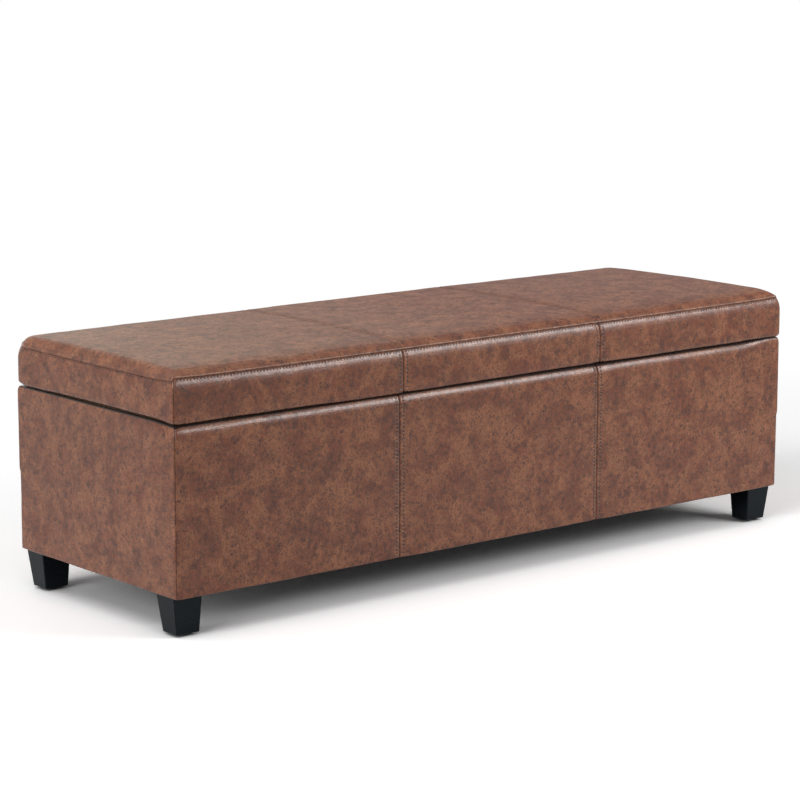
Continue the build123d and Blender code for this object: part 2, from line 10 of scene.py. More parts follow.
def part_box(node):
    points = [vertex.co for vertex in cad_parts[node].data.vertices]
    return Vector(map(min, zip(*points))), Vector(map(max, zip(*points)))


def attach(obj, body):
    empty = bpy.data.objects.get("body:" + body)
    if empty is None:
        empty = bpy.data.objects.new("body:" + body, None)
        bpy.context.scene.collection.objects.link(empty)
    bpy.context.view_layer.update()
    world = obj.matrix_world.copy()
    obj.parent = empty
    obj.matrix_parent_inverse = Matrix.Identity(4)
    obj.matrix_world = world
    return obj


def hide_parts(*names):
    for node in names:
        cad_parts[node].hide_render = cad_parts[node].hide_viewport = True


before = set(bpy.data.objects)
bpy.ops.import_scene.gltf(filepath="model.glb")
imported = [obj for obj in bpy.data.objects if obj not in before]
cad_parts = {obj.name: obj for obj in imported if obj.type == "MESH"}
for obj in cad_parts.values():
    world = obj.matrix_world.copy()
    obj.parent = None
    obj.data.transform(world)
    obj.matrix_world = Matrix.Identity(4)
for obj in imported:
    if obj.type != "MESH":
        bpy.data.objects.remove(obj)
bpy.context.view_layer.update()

bl_info = {
    "name": "Storage bench",
    "version": (1, 0, 0),
    "blender": (4, 5, 0),
    "location": "3D View > Sidebar > Storage bench",
    "description": "Covers, stitching, linings and finishes of an upholstered storage bench",
    "category": "Object",
}

AXES = {"x": Vector((1, 0, 0)), "y": Vector((0, 1, 0)), "z": Vector((0, 0, 1))}


def span(*nodes):
    """Lowest and highest corner of some nodes together."""
    boxes = [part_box(node) for node in nodes]
    low = Vector([min(box[0][i] for box in boxes) for i in range(3)])
    return low, Vector([max(box[1][i] for box in boxes) for i in range(3)])


# Places of the upholstery, read from the solids that it covers
BASE = span("left_end_cover", "right_end_cover")
BAND = span("lid_left_end_cover", "lid_right_end_cover")
CAP = span("lid_top_cover_left", "lid_top_cover_right")
ROOM = span("storage_lining")
DUST = span("dust_cover")
LID_LINING = span("lid_lining")
BASE_SEAMS = [corner.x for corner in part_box("front_cover_centre")]
LID_SEAMS = [corner.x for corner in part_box("lid_top_cover_centre")]
LIP_LOW = ROOM[1].z

# Nodes that each panel of a cover stands for
BASE_NODES = {
    "back": ("back_cover", "back_padding"),
    "left": ("left_end_cover", "left_end_padding"),
    "right": ("right_end_cover", "right_end_padding"),
    "front_left": ("front_cover_left", "front_padding"),
    "front_centre": ("front_cover_centre", "front_padding"),
    "front_right": ("front_cover_right", "front_padding"),
}
LID_NODES = {
    "back": ("lid_back_cover", "lid_edge_padding"),
    "left": ("lid_left_end_cover", "lid_edge_padding"),
    "right": ("lid_right_end_cover", "lid_edge_padding"),
    "front_left": ("lid_front_cover_left", "lid_edge_padding"),
    "front_centre": ("lid_front_cover_centre", "lid_edge_padding"),
    "front_right": ("lid_front_cover_right", "lid_edge_padding"),
}

# Fixed lengths, in metres
LIP_INSET = 0.0012
LIP_ROUND = 0.004
BASE_LOW_ROUND = 0.0025
LID_LOW_ROUND = 0.006
LID_UNDERSIDE = 0.0035
CORNER_REACH = 0.045
PILLOW_REACH = 0.011
PUCKER_REACH = 0.013
GROOVE_WIDTH = 0.0010
SEAM_LINE = 0.0007
WELT_LINE = 0.0006
POST_SIZE = 0.020
LINING_THICKNESS = 0.0008
LINING_SLACK = 0.0006
LINING_STEP = 0.02
FLAT_CLOTH_THICKNESS = 0.0005
FLAT_CLOTH_RISE = 0.0006
FLAT_CLOTH_SAG = 0.0005
BASE_STEP = 0.007
LID_STEP = 0.006
BAND_STEP = 0.005
SEAT_EDGE_STEP = 0.002
PANEL_ROW_MARGIN = 0.004
RIM_ROW_MARGIN = 0.005
WELT_ROW_MARGIN = 0.006
SEAT_ROW_MARGIN = 0.012
FINE_STEPS = (0.0005, 0.0011, 0.0018, 0.0027, 0.0038, 0.0052, 0.0072, 0.0100)

# Distances inwards from a cover's outer face: of the painted shade in the gap between lid and base, from where to
# where, and of worn leather, whose wear also carries a painted sheen
RIM_SHADE = (0.0034, 0.0050, 0.0100, 0.0140)
LID_SHADE = (0.0018, 0.0036, 0.0075, 0.0110)
RIM_WEAR = (0.0045, 0.0075)
SEAT_WEAR = (0.0048, 0.0085)

SHARP_FOLD = math.radians(55)
CLOTH_FRAMES = 20
# Colour of the painted shade in the gap between lid and base, along the seams and in the stitch dents
PAINTED_SHADE_COLOUR = (0.008, 0.005, 0.004, 1.0)


def length_property(name, description, default):
    """Length that a user may change."""
    return FloatProperty(name=name, description=description, default=default, unit="LENGTH")


def colour_property(name, description, default):
    """Colour that a user may change."""
    return FloatVectorProperty(
        name=name, description=description, default=default, subtype="COLOR", size=3, min=0, max=1
    )


class BenchSizes(bpy.types.PropertyGroup):
    """Sizes of the upholstery."""

    hide: length_property("Cover thickness", "Thickness of the faux leather", 0.0012)
    corner: length_property("Corner rounding", "Radius of the sewn upright corners", 0.0045)
    back_corner: length_property("Back corner rounding", "Radius of the lid's corners at the back", 0.011)
    roll: length_property("Roll depth", "Depth of the roll in the lid's band", 0.018)
    roll_height: length_property("Roll height", "Height of the roll in the lid's band", 0.033)
    ridge: length_property("Seam ridge", "Height of the ridge above the lid's seam", 0.0007)
    dip: length_property("Seam dip", "Fall of the lid's seam along its ends", 0.0055)
    crown: length_property("Seat crown", "Rise of the seat from its edges to its middle", 0.004)
    end_hold: FloatProperty(
        name="End hold", description="Share of the hold that the ends have on the seat's cloth", default=0.22
    )
    perk: length_property("Corner rise", "Rise of the lid's front corners above its edges", 0.003)
    rim: length_property("Rim depth", "Depth of the roll along the base's rim", 0.012)
    rim_height: length_property("Rim height", "Height of the roll along the base's rim", 0.021)
    end_rim: length_property("End rim depth", "Depth of the roll along the rim's ends", 0.0042)
    droop: length_property("Lid droop", "Fall of the lid's soft lower edge over the base", 0.0036)
    groove: length_property("Seam depth", "Depth of the groove along a seam", 0.0013)
    pillow: length_property("Pillow", "Fall of the padding towards a seam", 0.0010)
    ripple: length_property("Ripple", "Height of the slack ripples in the cover", 0.0006)
    pucker: length_property("Pucker", "Height of the small gathers along a seam", 0.0005)
    stitch_pitch: length_property("Stitch pitch", "Distance from stitch to stitch", 0.0058)
    stitch_length: length_property("Stitch length", "Visible length of one stitch", 0.0042)
    thread: length_property("Thread", "Thickness of the sewing thread", 0.0009)
    fold: length_property("Fold", "Height of the rubbed fold above the lid's seam", 0.0014)
    welt: length_property("Welt row", "Distance of the row below the lid's seam", 0.0024)
    row: length_property("Row distance", "Distance of a topstitched row from its seam", 0.0065)


class BenchColours(bpy.types.PropertyGroup):
    """Colours of the bench."""

    brown: colour_property("Leather brown", "Main colour of the faux leather", (0.143, 0.0435, 0.0200))
    russet: colour_property("Leather russet", "Redder clouds in the faux leather", (0.149, 0.0380, 0.0165))
    dusk: colour_property("Leather dark", "Dark blotches of the faux leather", (0.041, 0.0145, 0.0105))
    tan: colour_property("Leather tan", "Worn veins of the faux leather", (0.285, 0.112, 0.053))
    # Colour of the painted highlight on the fold above the lid's seam
    wear_and_painted_highlight: colour_property("Rubbed fold", "Pale faux leather on the lid's seam", (0.42, 0.29, 0.22))
    thread: colour_property("Thread colour", "Sewing thread", (0.150, 0.070, 0.045))
    foot: colour_property("Foot colour", "Painted feet", (0.0022, 0.0034, 0.0048))
    lining: colour_property("Lining colour", "Cloth inside and underneath", (0.012, 0.012, 0.013))
    timber: colour_property("Timber colour", "Softwood and plywood", (0.50, 0.34, 0.19))
    steel: colour_property("Steel colour", "Zinc-plated hinges and stays", (0.40, 0.41, 0.42))


# Shader nodes
def add(tree, kind, inputs=None, **settings):
    """New shader node with its settings, and its inputs set or linked."""
    node = tree.nodes.new("ShaderNode" + kind)
    for name, value in settings.items():
        setattr(node, name, value)
    for name, value in (inputs or {}).items():
        if isinstance(value, bpy.types.NodeSocket):
            tree.links.new(value, node.inputs[name])
        else:
            node.inputs[name].default_value = value
    return node


def rgba(colour):
    """Colour with full alpha."""
    return (*colour, 1.0)


def blend(tree, factor, first, second, mode="MIX"):
    """Mix of two colours."""
    node = add(tree, "Mix", {0: factor, 6: first, 7: second}, data_type="RGBA", blend_type=mode)
    return node.outputs[2]


def fit(tree, value, low, high, out_low=0.0, out_high=1.0):
    """Value between two limits, spread over an output range."""
    names = ("Value", "From Min", "From Max", "To Min", "To Max")
    return add(tree, "MapRange", dict(zip(names, (value, low, high, out_low, out_high)))).outputs["Result"]


def grain(tree, at, scale, detail=3.0, rough=0.55, distortion=0.0):
    """Noise value at a scale per metre."""
    inputs = {"Vector": at, "Scale": scale, "Detail": detail, "Roughness": rough, "Distortion": distortion}
    return add(tree, "TexNoise", inputs).outputs["Fac"]


def combined(tree, first, second, operation="MULTIPLY"):
    """Product of two values, or the result of another operation on them."""
    return add(tree, "Math", {0: first, 1: second}, operation=operation).outputs[0]


def stretched(tree, at, scale):
    """Coordinates scaled along each axis."""
    return add(tree, "Mapping", {"Vector": at, "Scale": scale}).outputs["Vector"]


def bumped(tree, height, distance, strength=1.0, normal=None):
    """Normal bent by a height."""
    inputs = {"Height": height, "Distance": distance, "Strength": strength}
    if normal is not None:
        inputs["Normal"] = normal
    return add(tree, "Bump", inputs).outputs["Normal"]


def new_material(name, **constants):
    """Material with its shader's own constants set, its tree, shader and object coordinates."""
    material = bpy.data.materials.new(name)
    material.use_nodes = True
    tree = material.node_tree
    shader = tree.nodes["Principled BSDF"]
    for socket, value in constants.items():
        shader.inputs[socket.replace("_", " ")].default_value = value
    return material, tree, shader, add(tree, "TexCoord").outputs["Object"]


def plug(tree, shader, **sockets):
    """Links outputs to the shader's sockets."""
    for name, socket in sockets.items():
        tree.links.new(socket, shader.inputs[name.replace("_", " ")])


def leather(colours, sizes):
    """Distressed faux leather: clouds, dark blotches, worn tan veins, fibres, grain and stitch dents; painted
    shade in the gap, seams and dents, a painted highlight above the lid's seam, and a painted sheen.
    """
    material, tree, shader, at = new_material(
        "distressed_leather", Specular_IOR_Level=0.34, Sheen_Roughness=0.5, Sheen_Tint=(0.85, 1.0, 0.78, 1.0)
    )
    along = add(tree, "SeparateXYZ", {0: at}).outputs["X"]
    piece = add(tree, "Attribute", attribute_name="cut").outputs["Vector"]
    at = add(tree, "VectorMath", {0: at, 1: piece}, operation="ADD").outputs["Vector"]
    painted_shade = add(tree, "Attribute", attribute_name="painted_shade").outputs["Fac"]
    worn = add(tree, "Attribute", attribute_name="worn").outputs["Fac"]
    warp = add(tree, "TexNoise", {"Vector": at, "Scale": 70.0, "Detail": 3.0}).outputs["Color"]
    bent = add(tree, "VectorMath", {0: warp, 1: (0.5, 0.5, 0.5)}, operation="SUBTRACT").outputs["Vector"]
    bent = add(tree, "VectorMath", {0: bent, "Scale": 0.016}, operation="SCALE").outputs["Vector"]
    bent = add(tree, "VectorMath", {0: at, 1: bent}, operation="ADD").outputs["Vector"]
    # Scales are features per metre
    cloud = grain(tree, at, 9.0, 3.0, 0.6)
    patch = grain(tree, at, 30.0, 4.0, 0.6, 0.6)
    blotch = grain(tree, at, 105.0, 4.0, 0.62, 0.9)
    speck = grain(tree, at, 310.0, 3.0, 0.65, 0.4)
    fibre = grain(tree, stretched(tree, at, (520.0, 520.0, 130.0)), 1.0, 2.0)
    veins = []
    for scale, width in ((90.0, 0.10), (210.0, 0.13)):
        edge = add(tree, "TexVoronoi", {"Vector": bent, "Scale": scale}, feature="DISTANCE_TO_EDGE")
        veins.append(fit(tree, edge.outputs["Distance"], 0.0, width, 1.0, 0.0))
    vein = combined(tree, combined(tree, veins[0], veins[1], "MAXIMUM"), fit(tree, patch, 0.38, 0.60, 0.15, 1.0))
    colour = blend(tree, fit(tree, cloud, 0.32, 0.68), rgba(colours.brown), rgba(colours.russet))
    colour = blend(tree, fit(tree, patch, 0.44, 0.66, 0.0, 0.45), colour, rgba(colours.tan))
    colour = blend(tree, fit(tree, blotch, 0.46, 0.62, 0.0, 0.80), colour, rgba(colours.dusk))
    colour = blend(tree, fit(tree, speck, 0.50, 0.68, 0.0, 0.45), colour, rgba(colours.dusk))
    colour = blend(tree, combined(tree, vein, 0.80), colour, rgba(colours.tan))
    colour = blend(tree, 1.0, colour, fit(tree, fibre, 0.25, 0.75, 0.78, 1.22), "MULTIPLY")
    rows = stitch_dents(tree, "seam", sizes.row, 0.0024, sizes.stitch_pitch)
    welt_row = stitch_dents(tree, "welt", sizes.welt, 0.0020, sizes.stitch_pitch)
    dents = combined(tree, rows, welt_row, "MAXIMUM")
    # Painted shade: darkens the gap between lid and base, the seams and the stitch dents
    shade = combined(tree, fit(tree, painted_shade, 0.0, 1.0, 0.0, 0.95), combined(tree, dents, 0.85), "MAXIMUM")
    colour = blend(tree, shade, colour, PAINTED_SHADE_COLOUR)
    # Painted highlight: a pale line on the fold above the lid's seam, where the ridge would catch the light
    fold = add(tree, "Attribute", attribute_name="welt").outputs["Vector"]
    fold = add(tree, "SeparateXYZ", {0: fold}).outputs["X"]
    fold = combined(tree, combined(tree, fold, sizes.fold, "ADD"), 0.0, "ABSOLUTE")
    wear_and_painted_highlight = combined(tree, fit(tree, fold, 0.0004, 0.0014, 0.6, 0.0), fit(tree, blotch, 0.35, 0.60, 1.0, 0.3))
    colour = blend(tree, wear_and_painted_highlight, colour, rgba(colours.wear_and_painted_highlight))
    rough = combined(tree, fit(tree, blotch, 0.3, 0.7, 0.17, 0.32), combined(tree, worn, 0.36), "ADD")
    pebble = add(tree, "TexVoronoi", {"Vector": bent, "Scale": 520.0}, feature="SMOOTH_F1").outputs["Distance"]
    normal = bumped(tree, pebble, 0.00030, 0.30)
    normal = bumped(tree, blotch, 0.0010, 0.25, normal)
    normal = bumped(tree, combined(tree, dents, -1.0), 0.0006, 0.6, normal)
    # Painted sheen on the worn leather, fading from the left end to past the middle, standing in for light that is
    # stronger at the left end
    painted_sheen = combined(tree, worn, fit(tree, along, -0.55, 0.10, 0.09, 0.0))
    plug(tree, shader, Base_Color=colour, Roughness=rough, Normal=normal, Sheen_Weight=painted_sheen)
    return material


def stitch_dents(tree, name, row, reach, pitch):
    """Marks of a stitched row at its distance beside a seam, one for each stitch: painted shade of the dents, also
    used as their bump.
    """
    place = add(tree, "Attribute", attribute_name=name).outputs["Vector"]
    place = add(tree, "SeparateXYZ", {0: place}).outputs
    beside = combined(tree, combined(tree, place["X"], row, "SUBTRACT"), 0.0, "ABSOLUTE")
    beat = combined(tree, combined(tree, place["Y"], pitch, "DIVIDE"), 0.0, "FRACT")
    beat = combined(tree, combined(tree, beat, 0.5, "SUBTRACT"), 0.0, "ABSOLUTE")
    return combined(tree, fit(tree, beside, reach / 3, reach, 1.0, 0.0), fit(tree, beat, 0.12, 0.24, 1.0, 0.0))


def thread_finish(colours):
    """Twisted sewing thread."""
    material, tree, shader, at = new_material("sewing_thread", Specular_IOR_Level=0.3, Roughness=0.6)
    ply = grain(tree, at, 2600.0, 2.0)
    colour = blend(tree, fit(tree, ply, 0.3, 0.7), rgba([c * 0.6 for c in colours.thread]), rgba(colours.thread))
    plug(tree, shader, Base_Color=colour, Normal=bumped(tree, ply, 0.0002, 0.5))
    return material


def foot_finish(colours):
    """Satin black paint over wood, with a trace of its grain."""
    material, tree, shader, at = new_material(
        "painted_foot", Specular_IOR_Level=0.13, Specular_Tint=(0.78, 0.95, 1.0, 1.0)
    )
    lines = grain(tree, stretched(tree, at, (220.0, 220.0, 18.0)), 1.0, 4.0, 0.6)
    dust = grain(tree, at, 160.0, 3.0)
    pale = [c * 1.7 for c in colours.foot]
    colour = blend(tree, fit(tree, dust, 0.35, 0.75), rgba(colours.foot), rgba(pale))
    plug(tree, shader, Base_Color=colour, Roughness=fit(tree, lines, 0.3, 0.7, 0.12, 0.20),
         Normal=bumped(tree, lines, 0.0001, 0.25))
    return material


def lining_finish(colours):
    """Thin woven lining cloth."""
    material, tree, shader, at = new_material("woven_lining", Specular_IOR_Level=0.25, Roughness=0.85)
    weave = []
    for bands in ("X", "Y", "Z"):
        wave = add(tree, "TexWave", {"Vector": at, "Scale": 190.0, "Distortion": 0.3}, bands_direction=bands)
        weave.append(wave.outputs["Fac"])
    height = combined(tree, combined(tree, weave[0], weave[1], "ADD"), weave[2], "ADD")
    fuzz = grain(tree, at, 60.0, 4.0)
    pale = [c * 2.6 for c in colours.lining]
    colour = blend(tree, fit(tree, height, 0.4, 2.4), rgba(colours.lining), rgba(pale))
    colour = blend(tree, 1.0, colour, fit(tree, fuzz, 0.3, 0.7, 0.75, 1.2), "MULTIPLY")
    plug(tree, shader, Base_Color=colour, Normal=bumped(tree, height, 0.0003, 0.4))
    return material


def timber_finish(colours):
    """Plain sawn timber with long grain lines."""
    material, tree, shader, at = new_material("sawn_timber", Specular_IOR_Level=0.3)
    lines = grain(tree, stretched(tree, at, (6.0, 120.0, 120.0)), 1.0, 5.0, 0.6, 1.2)
    ring = add(tree, "TexWave", {"Vector": stretched(tree, at, (0.6, 9.0, 9.0)), "Scale": 4.0, "Distortion": 5.0})
    dark = [c * 0.62 for c in colours.timber]
    colour = blend(tree, fit(tree, ring.outputs["Fac"], 0.2, 0.9, 0.0, 0.6), rgba(colours.timber), rgba(dark))
    colour = blend(tree, 1.0, colour, fit(tree, lines, 0.3, 0.7, 0.85, 1.1), "MULTIPLY")
    plug(tree, shader, Base_Color=colour, Roughness=fit(tree, lines, 0.3, 0.7, 0.55, 0.7),
         Normal=bumped(tree, lines, 0.0002, 0.3))
    return material


def steel_finish(colours):
    """Zinc-plated steel with faint rolling lines."""
    material, tree, shader, at = new_material("plated_steel", Metallic=1.0)
    lines = grain(tree, stretched(tree, at, (900.0, 90.0, 900.0)), 1.0, 3.0)
    cloud = grain(tree, at, 45.0, 4.0)
    dim = [c * 0.8 for c in colours.steel]
    colour = blend(tree, fit(tree, cloud, 0.35, 0.65), rgba(dim), rgba(colours.steel))
    plug(tree, shader, Base_Color=colour, Roughness=fit(tree, lines, 0.3, 0.7, 0.26, 0.42),
         Normal=bumped(tree, lines, 0.0001, 0.15))
    return material


def rubber_finish():
    """Moulded black rubber or plastic."""
    material, tree, shader, at = new_material("moulded_black", Specular_IOR_Level=0.4)
    speck = grain(tree, at, 900.0, 2.0)
    colour = blend(tree, fit(tree, speck, 0.3, 0.7), (0.008, 0.008, 0.009, 1), (0.018, 0.018, 0.019, 1))
    plug(tree, shader, Base_Color=colour, Roughness=fit(tree, speck, 0.3, 0.7, 0.45, 0.6),
         Normal=bumped(tree, speck, 0.0001, 0.3))
    return material


def finish_of(name, maker, *arguments):
    """The material of that name, made on first use."""
    return bpy.data.materials.get(name) or maker(*arguments)


def dress(nodes, material):
    """Gives CAD nodes a finish in place of their packed one."""
    for name in nodes:
        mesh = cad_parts[name].data
        mesh.materials.clear()
        mesh.materials.append(material)


# Mesh work
def cut(bm, point, normal, clear=False):
    """Cuts a mesh along a plane, and drops what lies in front of it if asked."""
    everything = bm.verts[:] + bm.edges[:] + bm.faces[:]
    bmesh.ops.bisect_plane(bm, geom=everything, dist=1e-7, plane_co=point, plane_no=normal, clear_outer=clear)


def slices(bm, axis, places):
    """Cuts a mesh at places along one axis."""
    for place in places:
        cut(bm, AXES[axis] * place, AXES[axis])


def stations(low, high, step, fine=()):
    """Places between two limits: evenly spaced, and closer together near the fine ones."""
    count = max(1, round((high - low) / step))
    places = {round(low + (high - low) * i / count, 6) for i in range(1, count)}
    for middle in fine:
        for distance in FINE_STEPS:
            places |= {round(middle - distance, 6), round(middle + distance, 6)}
    return sorted(place for place in places if low < place < high)


def plan_cuts(box, step, seams):
    """Places to cut a shell along and across a box, closer together at its seams and faces."""
    (low_x, low_y, _), (high_x, high_y, _) = box
    return {
        "x": stations(low_x, high_x, step, [*seams, low_x, high_x]),
        "y": stations(low_y, high_y, step, [low_y, high_y]),
    }


def level(bm, height):
    """Edges that lie at one height."""
    return [edge for edge in bm.edges if all(abs(v.co.z - height) < 1e-6 for v in edge.verts)]


def bevel(bm, edges, radius, segments):
    """Rounds edges."""
    bmesh.ops.bevel(bm, geom=edges, offset=radius, segments=segments, profile=0.5, affect="EDGES", material=-1)


def padded_box(low, high, low_round, top_round):
    """Box with rounded lower and upper edges and mitred corners."""
    bm = bmesh.new()
    middle, size = (low + high) / 2, (high - low) / 2
    bmesh.ops.create_cube(bm, size=2.0, matrix=Matrix.Translation(middle) @ Matrix.Diagonal((*size, 1)))
    bevel(bm, level(bm, low.z), low_round, 6)
    bevel(bm, level(bm, high.z), top_round, 12)
    return bm


def open_face(bm, height, border):
    """Opens a flat face at one height, leaving a border; gives the edges of the opening."""
    face = min(bm.faces, key=lambda f: abs(f.calc_center_median().z - height))
    bmesh.ops.inset_region(bm, faces=[face], thickness=border, use_even_offset=True)
    rim = face.edges[:]
    bmesh.ops.delete(bm, geom=[face], context="FACES_ONLY")
    return rim


def stretch_roll(bm, low, high, depth, height):
    """Makes the round upper edge of a box a tall ellipse."""
    for vert in bm.verts:
        if vert.co.z > (low.z + high.z) / 2:
            vert.co.z = high.z - (high.z - vert.co.z) * height / depth


def base_shell(sizes):
    """Cover of the whole base: sides, rim, lip inside the rim, and return underneath."""
    bm = padded_box(*BASE, BASE_LOW_ROUND, sizes.rim)
    stretch_roll(bm, *BASE, sizes.rim, sizes.rim_height)
    open_face(bm, BASE[0].z, DUST[0].x - BASE[0].x - BASE_LOW_ROUND)
    rim = open_face(bm, BASE[1].z, ROOM[0].x + LIP_INSET - BASE[0].x - sizes.rim)
    lip = bmesh.ops.extrude_edge_only(bm, edges=rim)["geom"]
    drop = [v for v in lip if isinstance(v, bmesh.types.BMVert)]
    bmesh.ops.translate(bm, verts=drop, vec=(0, 0, LIP_LOW - BASE[1].z))
    bevel(bm, [edge for edge in rim if edge.is_valid], LIP_ROUND, 4)
    return bm


def squeeze(value, full, tight, limit):
    """Draws the values up to a full one in to a tight one, and eases out to a limit."""
    if not 0 < value < limit:
        return value
    if value < full:
        return value * tight / full
    return limit - (limit - value) * (limit - tight) / (limit - full)


def tighten(bm, sizes):
    """Draws the rim's roll tighter along the ends and back of the base, and towards its right end."""
    inner = ROOM[0].x - BASE[0].x
    for vert in bm.verts:
        if vert.co.z < (BASE[0].z + BASE[1].z) / 2:
            continue
        gap_x, gap_y = gaps(vert.co, BASE)
        right_end = ramp(vert.co.x, BASE[1].x - 0.10, BASE[1].x - 0.02)
        behind_front = ramp(vert.co.y, BASE[0].y + 0.012, BASE[0].y + 0.060)
        share = max(right_end, behind_front)
        depth = sizes.rim + (sizes.end_rim - sizes.rim) * share
        height = sizes.rim_height * (1 - 0.5 * share * (1 - ramp(min(gap_x, gap_y), 0.010, 0.016)))
        vert.co.x = math.copysign(BASE[1].x - squeeze(gap_x, sizes.rim, depth, inner), vert.co.x)
        vert.co.y = math.copysign(BASE[1].y - squeeze(gap_y, sizes.rim, depth, inner), vert.co.y)
        vert.co.z = BASE[1].z - squeeze(BASE[1].z - vert.co.z, sizes.rim_height, height, 0.06)


def lid_shell(sizes):
    """Cover of the whole lid: sides, a tall soft roll round the top, and return underneath."""
    high = Vector((BAND[1].x, BAND[1].y, CAP[1].z - sizes.crown))
    bm = padded_box(BAND[0], high, LID_LOW_ROUND, sizes.roll)
    stretch_roll(bm, BAND[0], high, sizes.roll, sizes.roll_height)
    open_face(bm, BAND[0].z, LID_LINING[0].x - BAND[0].x - LID_LOW_ROUND)
    return bm


def gaps(co, box):
    """Plan distances of a point inwards from a box's end and long faces."""
    return box[1].x - abs(co.x), box[1].y - abs(co.y)


def on_front(co, box):
    """Whether a point is on the front panels round a box."""
    gap_x, gap_y = gaps(co, box)
    return co.y < 0 and gap_y < gap_x


def from_corner(co, box):
    """Plan distance of a point from the mitre at its nearest upright corner."""
    gap_x, gap_y = gaps(co, box)
    return abs(gap_x - gap_y)


def along_side(co, box):
    """Place of a point along its side of a box."""
    gap_x, gap_y = gaps(co, box)
    return co.x if gap_y < gap_x else co.y


def round_corners(bm, box, front, back):
    """Rounds the upright corners of a shell in plan."""
    for vert in bm.verts:
        gap_x, gap_y = gaps(vert.co, box)
        depth, run = min(gap_x, gap_y), abs(gap_x - gap_y)
        bend = (front if vert.co.y < 0 else back) * (1 - ramp(depth, 0.016, 0.030))
        if run >= bend:
            continue
        turn = (1 - run / bend) * math.pi / 4
        less, more = depth + bend * (1 - math.cos(turn)), depth + bend * (1 - math.sin(turn))
        gap_x, gap_y = (more, less) if gap_y <= gap_x else (less, more)
        vert.co.x = math.copysign(box[1].x - gap_x, vert.co.x)
        vert.co.y = math.copysign(box[1].y - gap_y, vert.co.y)


def bell(distance, width):
    """Falls from 1 at no distance to nothing."""
    return math.exp(-((distance / width) ** 2))


def wander(co, size, seed):
    """Smooth noise with features of one size."""
    return noise.noise(Vector(co) / size + Vector((seed, 2 * seed, -seed)))


def seam_fall(distance, run, sizes, seed, pillow=1.0, groove=1.0, pucker=1.0):
    """Depth of the cover at a distance from a seam: padding fall, groove and gathers."""
    fall = pillow * sizes.pillow * math.exp(-distance / PILLOW_REACH)
    fall += groove * sizes.groove * bell(distance, GROOVE_WIDTH)
    gather = noise.noise(Vector((run / 0.0075, seed, 0.0))) + 0.6 * noise.noise(Vector((run / 0.019, seed, 5.0)))
    return fall - pucker * sizes.pucker * gather * math.exp(-distance / PUCKER_REACH)


def slack(co, sizes):
    """Slow ripples of the cover."""
    return -sizes.ripple * (wander(co, 0.085, 3.1) + 0.45 * wander(co, 0.034, 7.7))


def nearest(value, places):
    """Distance to the nearest of some places."""
    return min(abs(value - place) for place in places)


def far(co):
    """Place beside a seam of a point that has none near."""
    return 1.0, co.z


def beside_front_seams(co, box, seams):
    """Place of a point beside the nearest seam of a box's front, and up it."""
    return (nearest(co.x, seams), co.z) if on_front(co, box) else far(co)


def near_seam(co, box, seams):
    """Distance of a point from the nearest upright seam or corner."""
    corner = from_corner(co, box)
    return min(corner, nearest(co.x, seams)) if on_front(co, box) else corner


def settle(bm, depth, painted_shade, seam, welt=far):
    """Draws a shell in along its normals by a depth, and marks its painted shade and its places beside the seams.
    """
    dark = bm.verts.layers.float.new("painted_shade")
    sewn = bm.verts.layers.float_vector.new("seam")
    edge = bm.verts.layers.float_vector.new("welt")
    bm.normal_update()
    for vert, move in [(vert, vert.normal * -depth(vert.co)) for vert in bm.verts]:
        vert[dark] = painted_shade(vert.co)
        vert[sewn] = (*seam(vert.co), 0.0)
        vert[edge] = (*welt(vert.co), 0.0)
        vert.co += move


def ramp(value, low, high):
    """0 up to a low limit, 1 from a high one, and smooth between."""
    share = min(1.0, max(0.0, (value - low) / (high - low)))
    return share * share * (3 - 2 * share)


def between(value, rise, full, fall, end):
    """Rises to 1 between two limits, and falls back to 0 between two others."""
    return ramp(value, rise, full) - ramp(value, fall, end)


def seat_sheet(sizes):
    """Flat cloth over the seat, sewn fast along its front and back and less tightly along its ends."""
    bm = bmesh.new()
    half = Matrix.Diagonal((BAND[1].x, BAND[1].y, 1.0, 1.0))
    bmesh.ops.create_grid(bm, x_segments=100, y_segments=34, size=1.0, matrix=half)
    sewn = bm.verts.layers.deform.verify()
    for vert in bm.verts:
        gap_x, gap_y = gaps(vert.co, BAND)
        if min(gap_x, gap_y) < 1e-5:
            vert[sewn][0] = 1.0 if gap_y < 1e-5 else sizes.end_hold
    mesh = bpy.data.meshes.new("seat_sheet")
    bm.to_mesh(mesh)
    bm.free()
    sheet = bpy.data.objects.new("seat_sheet", mesh)
    sheet.vertex_groups.new(name="sewn")
    bpy.context.scene.collection.objects.link(sheet)
    return sheet


def blown(sizes):
    """Cloth simulation of the seat's cover over its filling: the rise at a place, as a share of the middle's."""
    sheet = seat_sheet(sizes)
    cloth = sheet.modifiers.new("Cloth", "CLOTH")
    settings = cloth.settings
    settings.vertex_group_mass = "sewn"
    settings.effector_weights.gravity = 0.0
    settings.use_pressure = True
    settings.uniform_pressure_force = 4.0
    settings.air_damping = 4.0
    settings.tension_damping = settings.compression_damping = 15.0
    cloth.collision_settings.use_collision = False
    cloth.point_cache.frame_start, cloth.point_cache.frame_end = 1, CLOTH_FRAMES
    for moment in range(1, CLOTH_FRAMES + 1):
        bpy.context.scene.frame_set(moment)
    result = sheet.evaluated_get(bpy.context.evaluated_depsgraph_get()).to_mesh()
    points = [(flat.co.x, flat.co.y, full.co.z) for flat, full in zip(sheet.data.vertices, result.vertices)]
    tree = BVHTree.FromPolygons(points, [face.vertices[:] for face in sheet.data.polygons])
    mesh = sheet.data
    bpy.data.objects.remove(sheet)
    bpy.data.meshes.remove(mesh)
    bpy.context.scene.frame_set(1)
    limit = BAND[1] - Vector((1e-4, 1e-4, 0.0))

    def height(x, y):
        place = Vector((min(limit.x, max(-limit.x, x)), min(limit.y, max(-limit.y, y)), 1.0))
        return tree.ray_cast(place, -AXES["z"])[0].z

    top = height(0.0, 0.0)
    return lambda co: height(co.x, co.y) / top


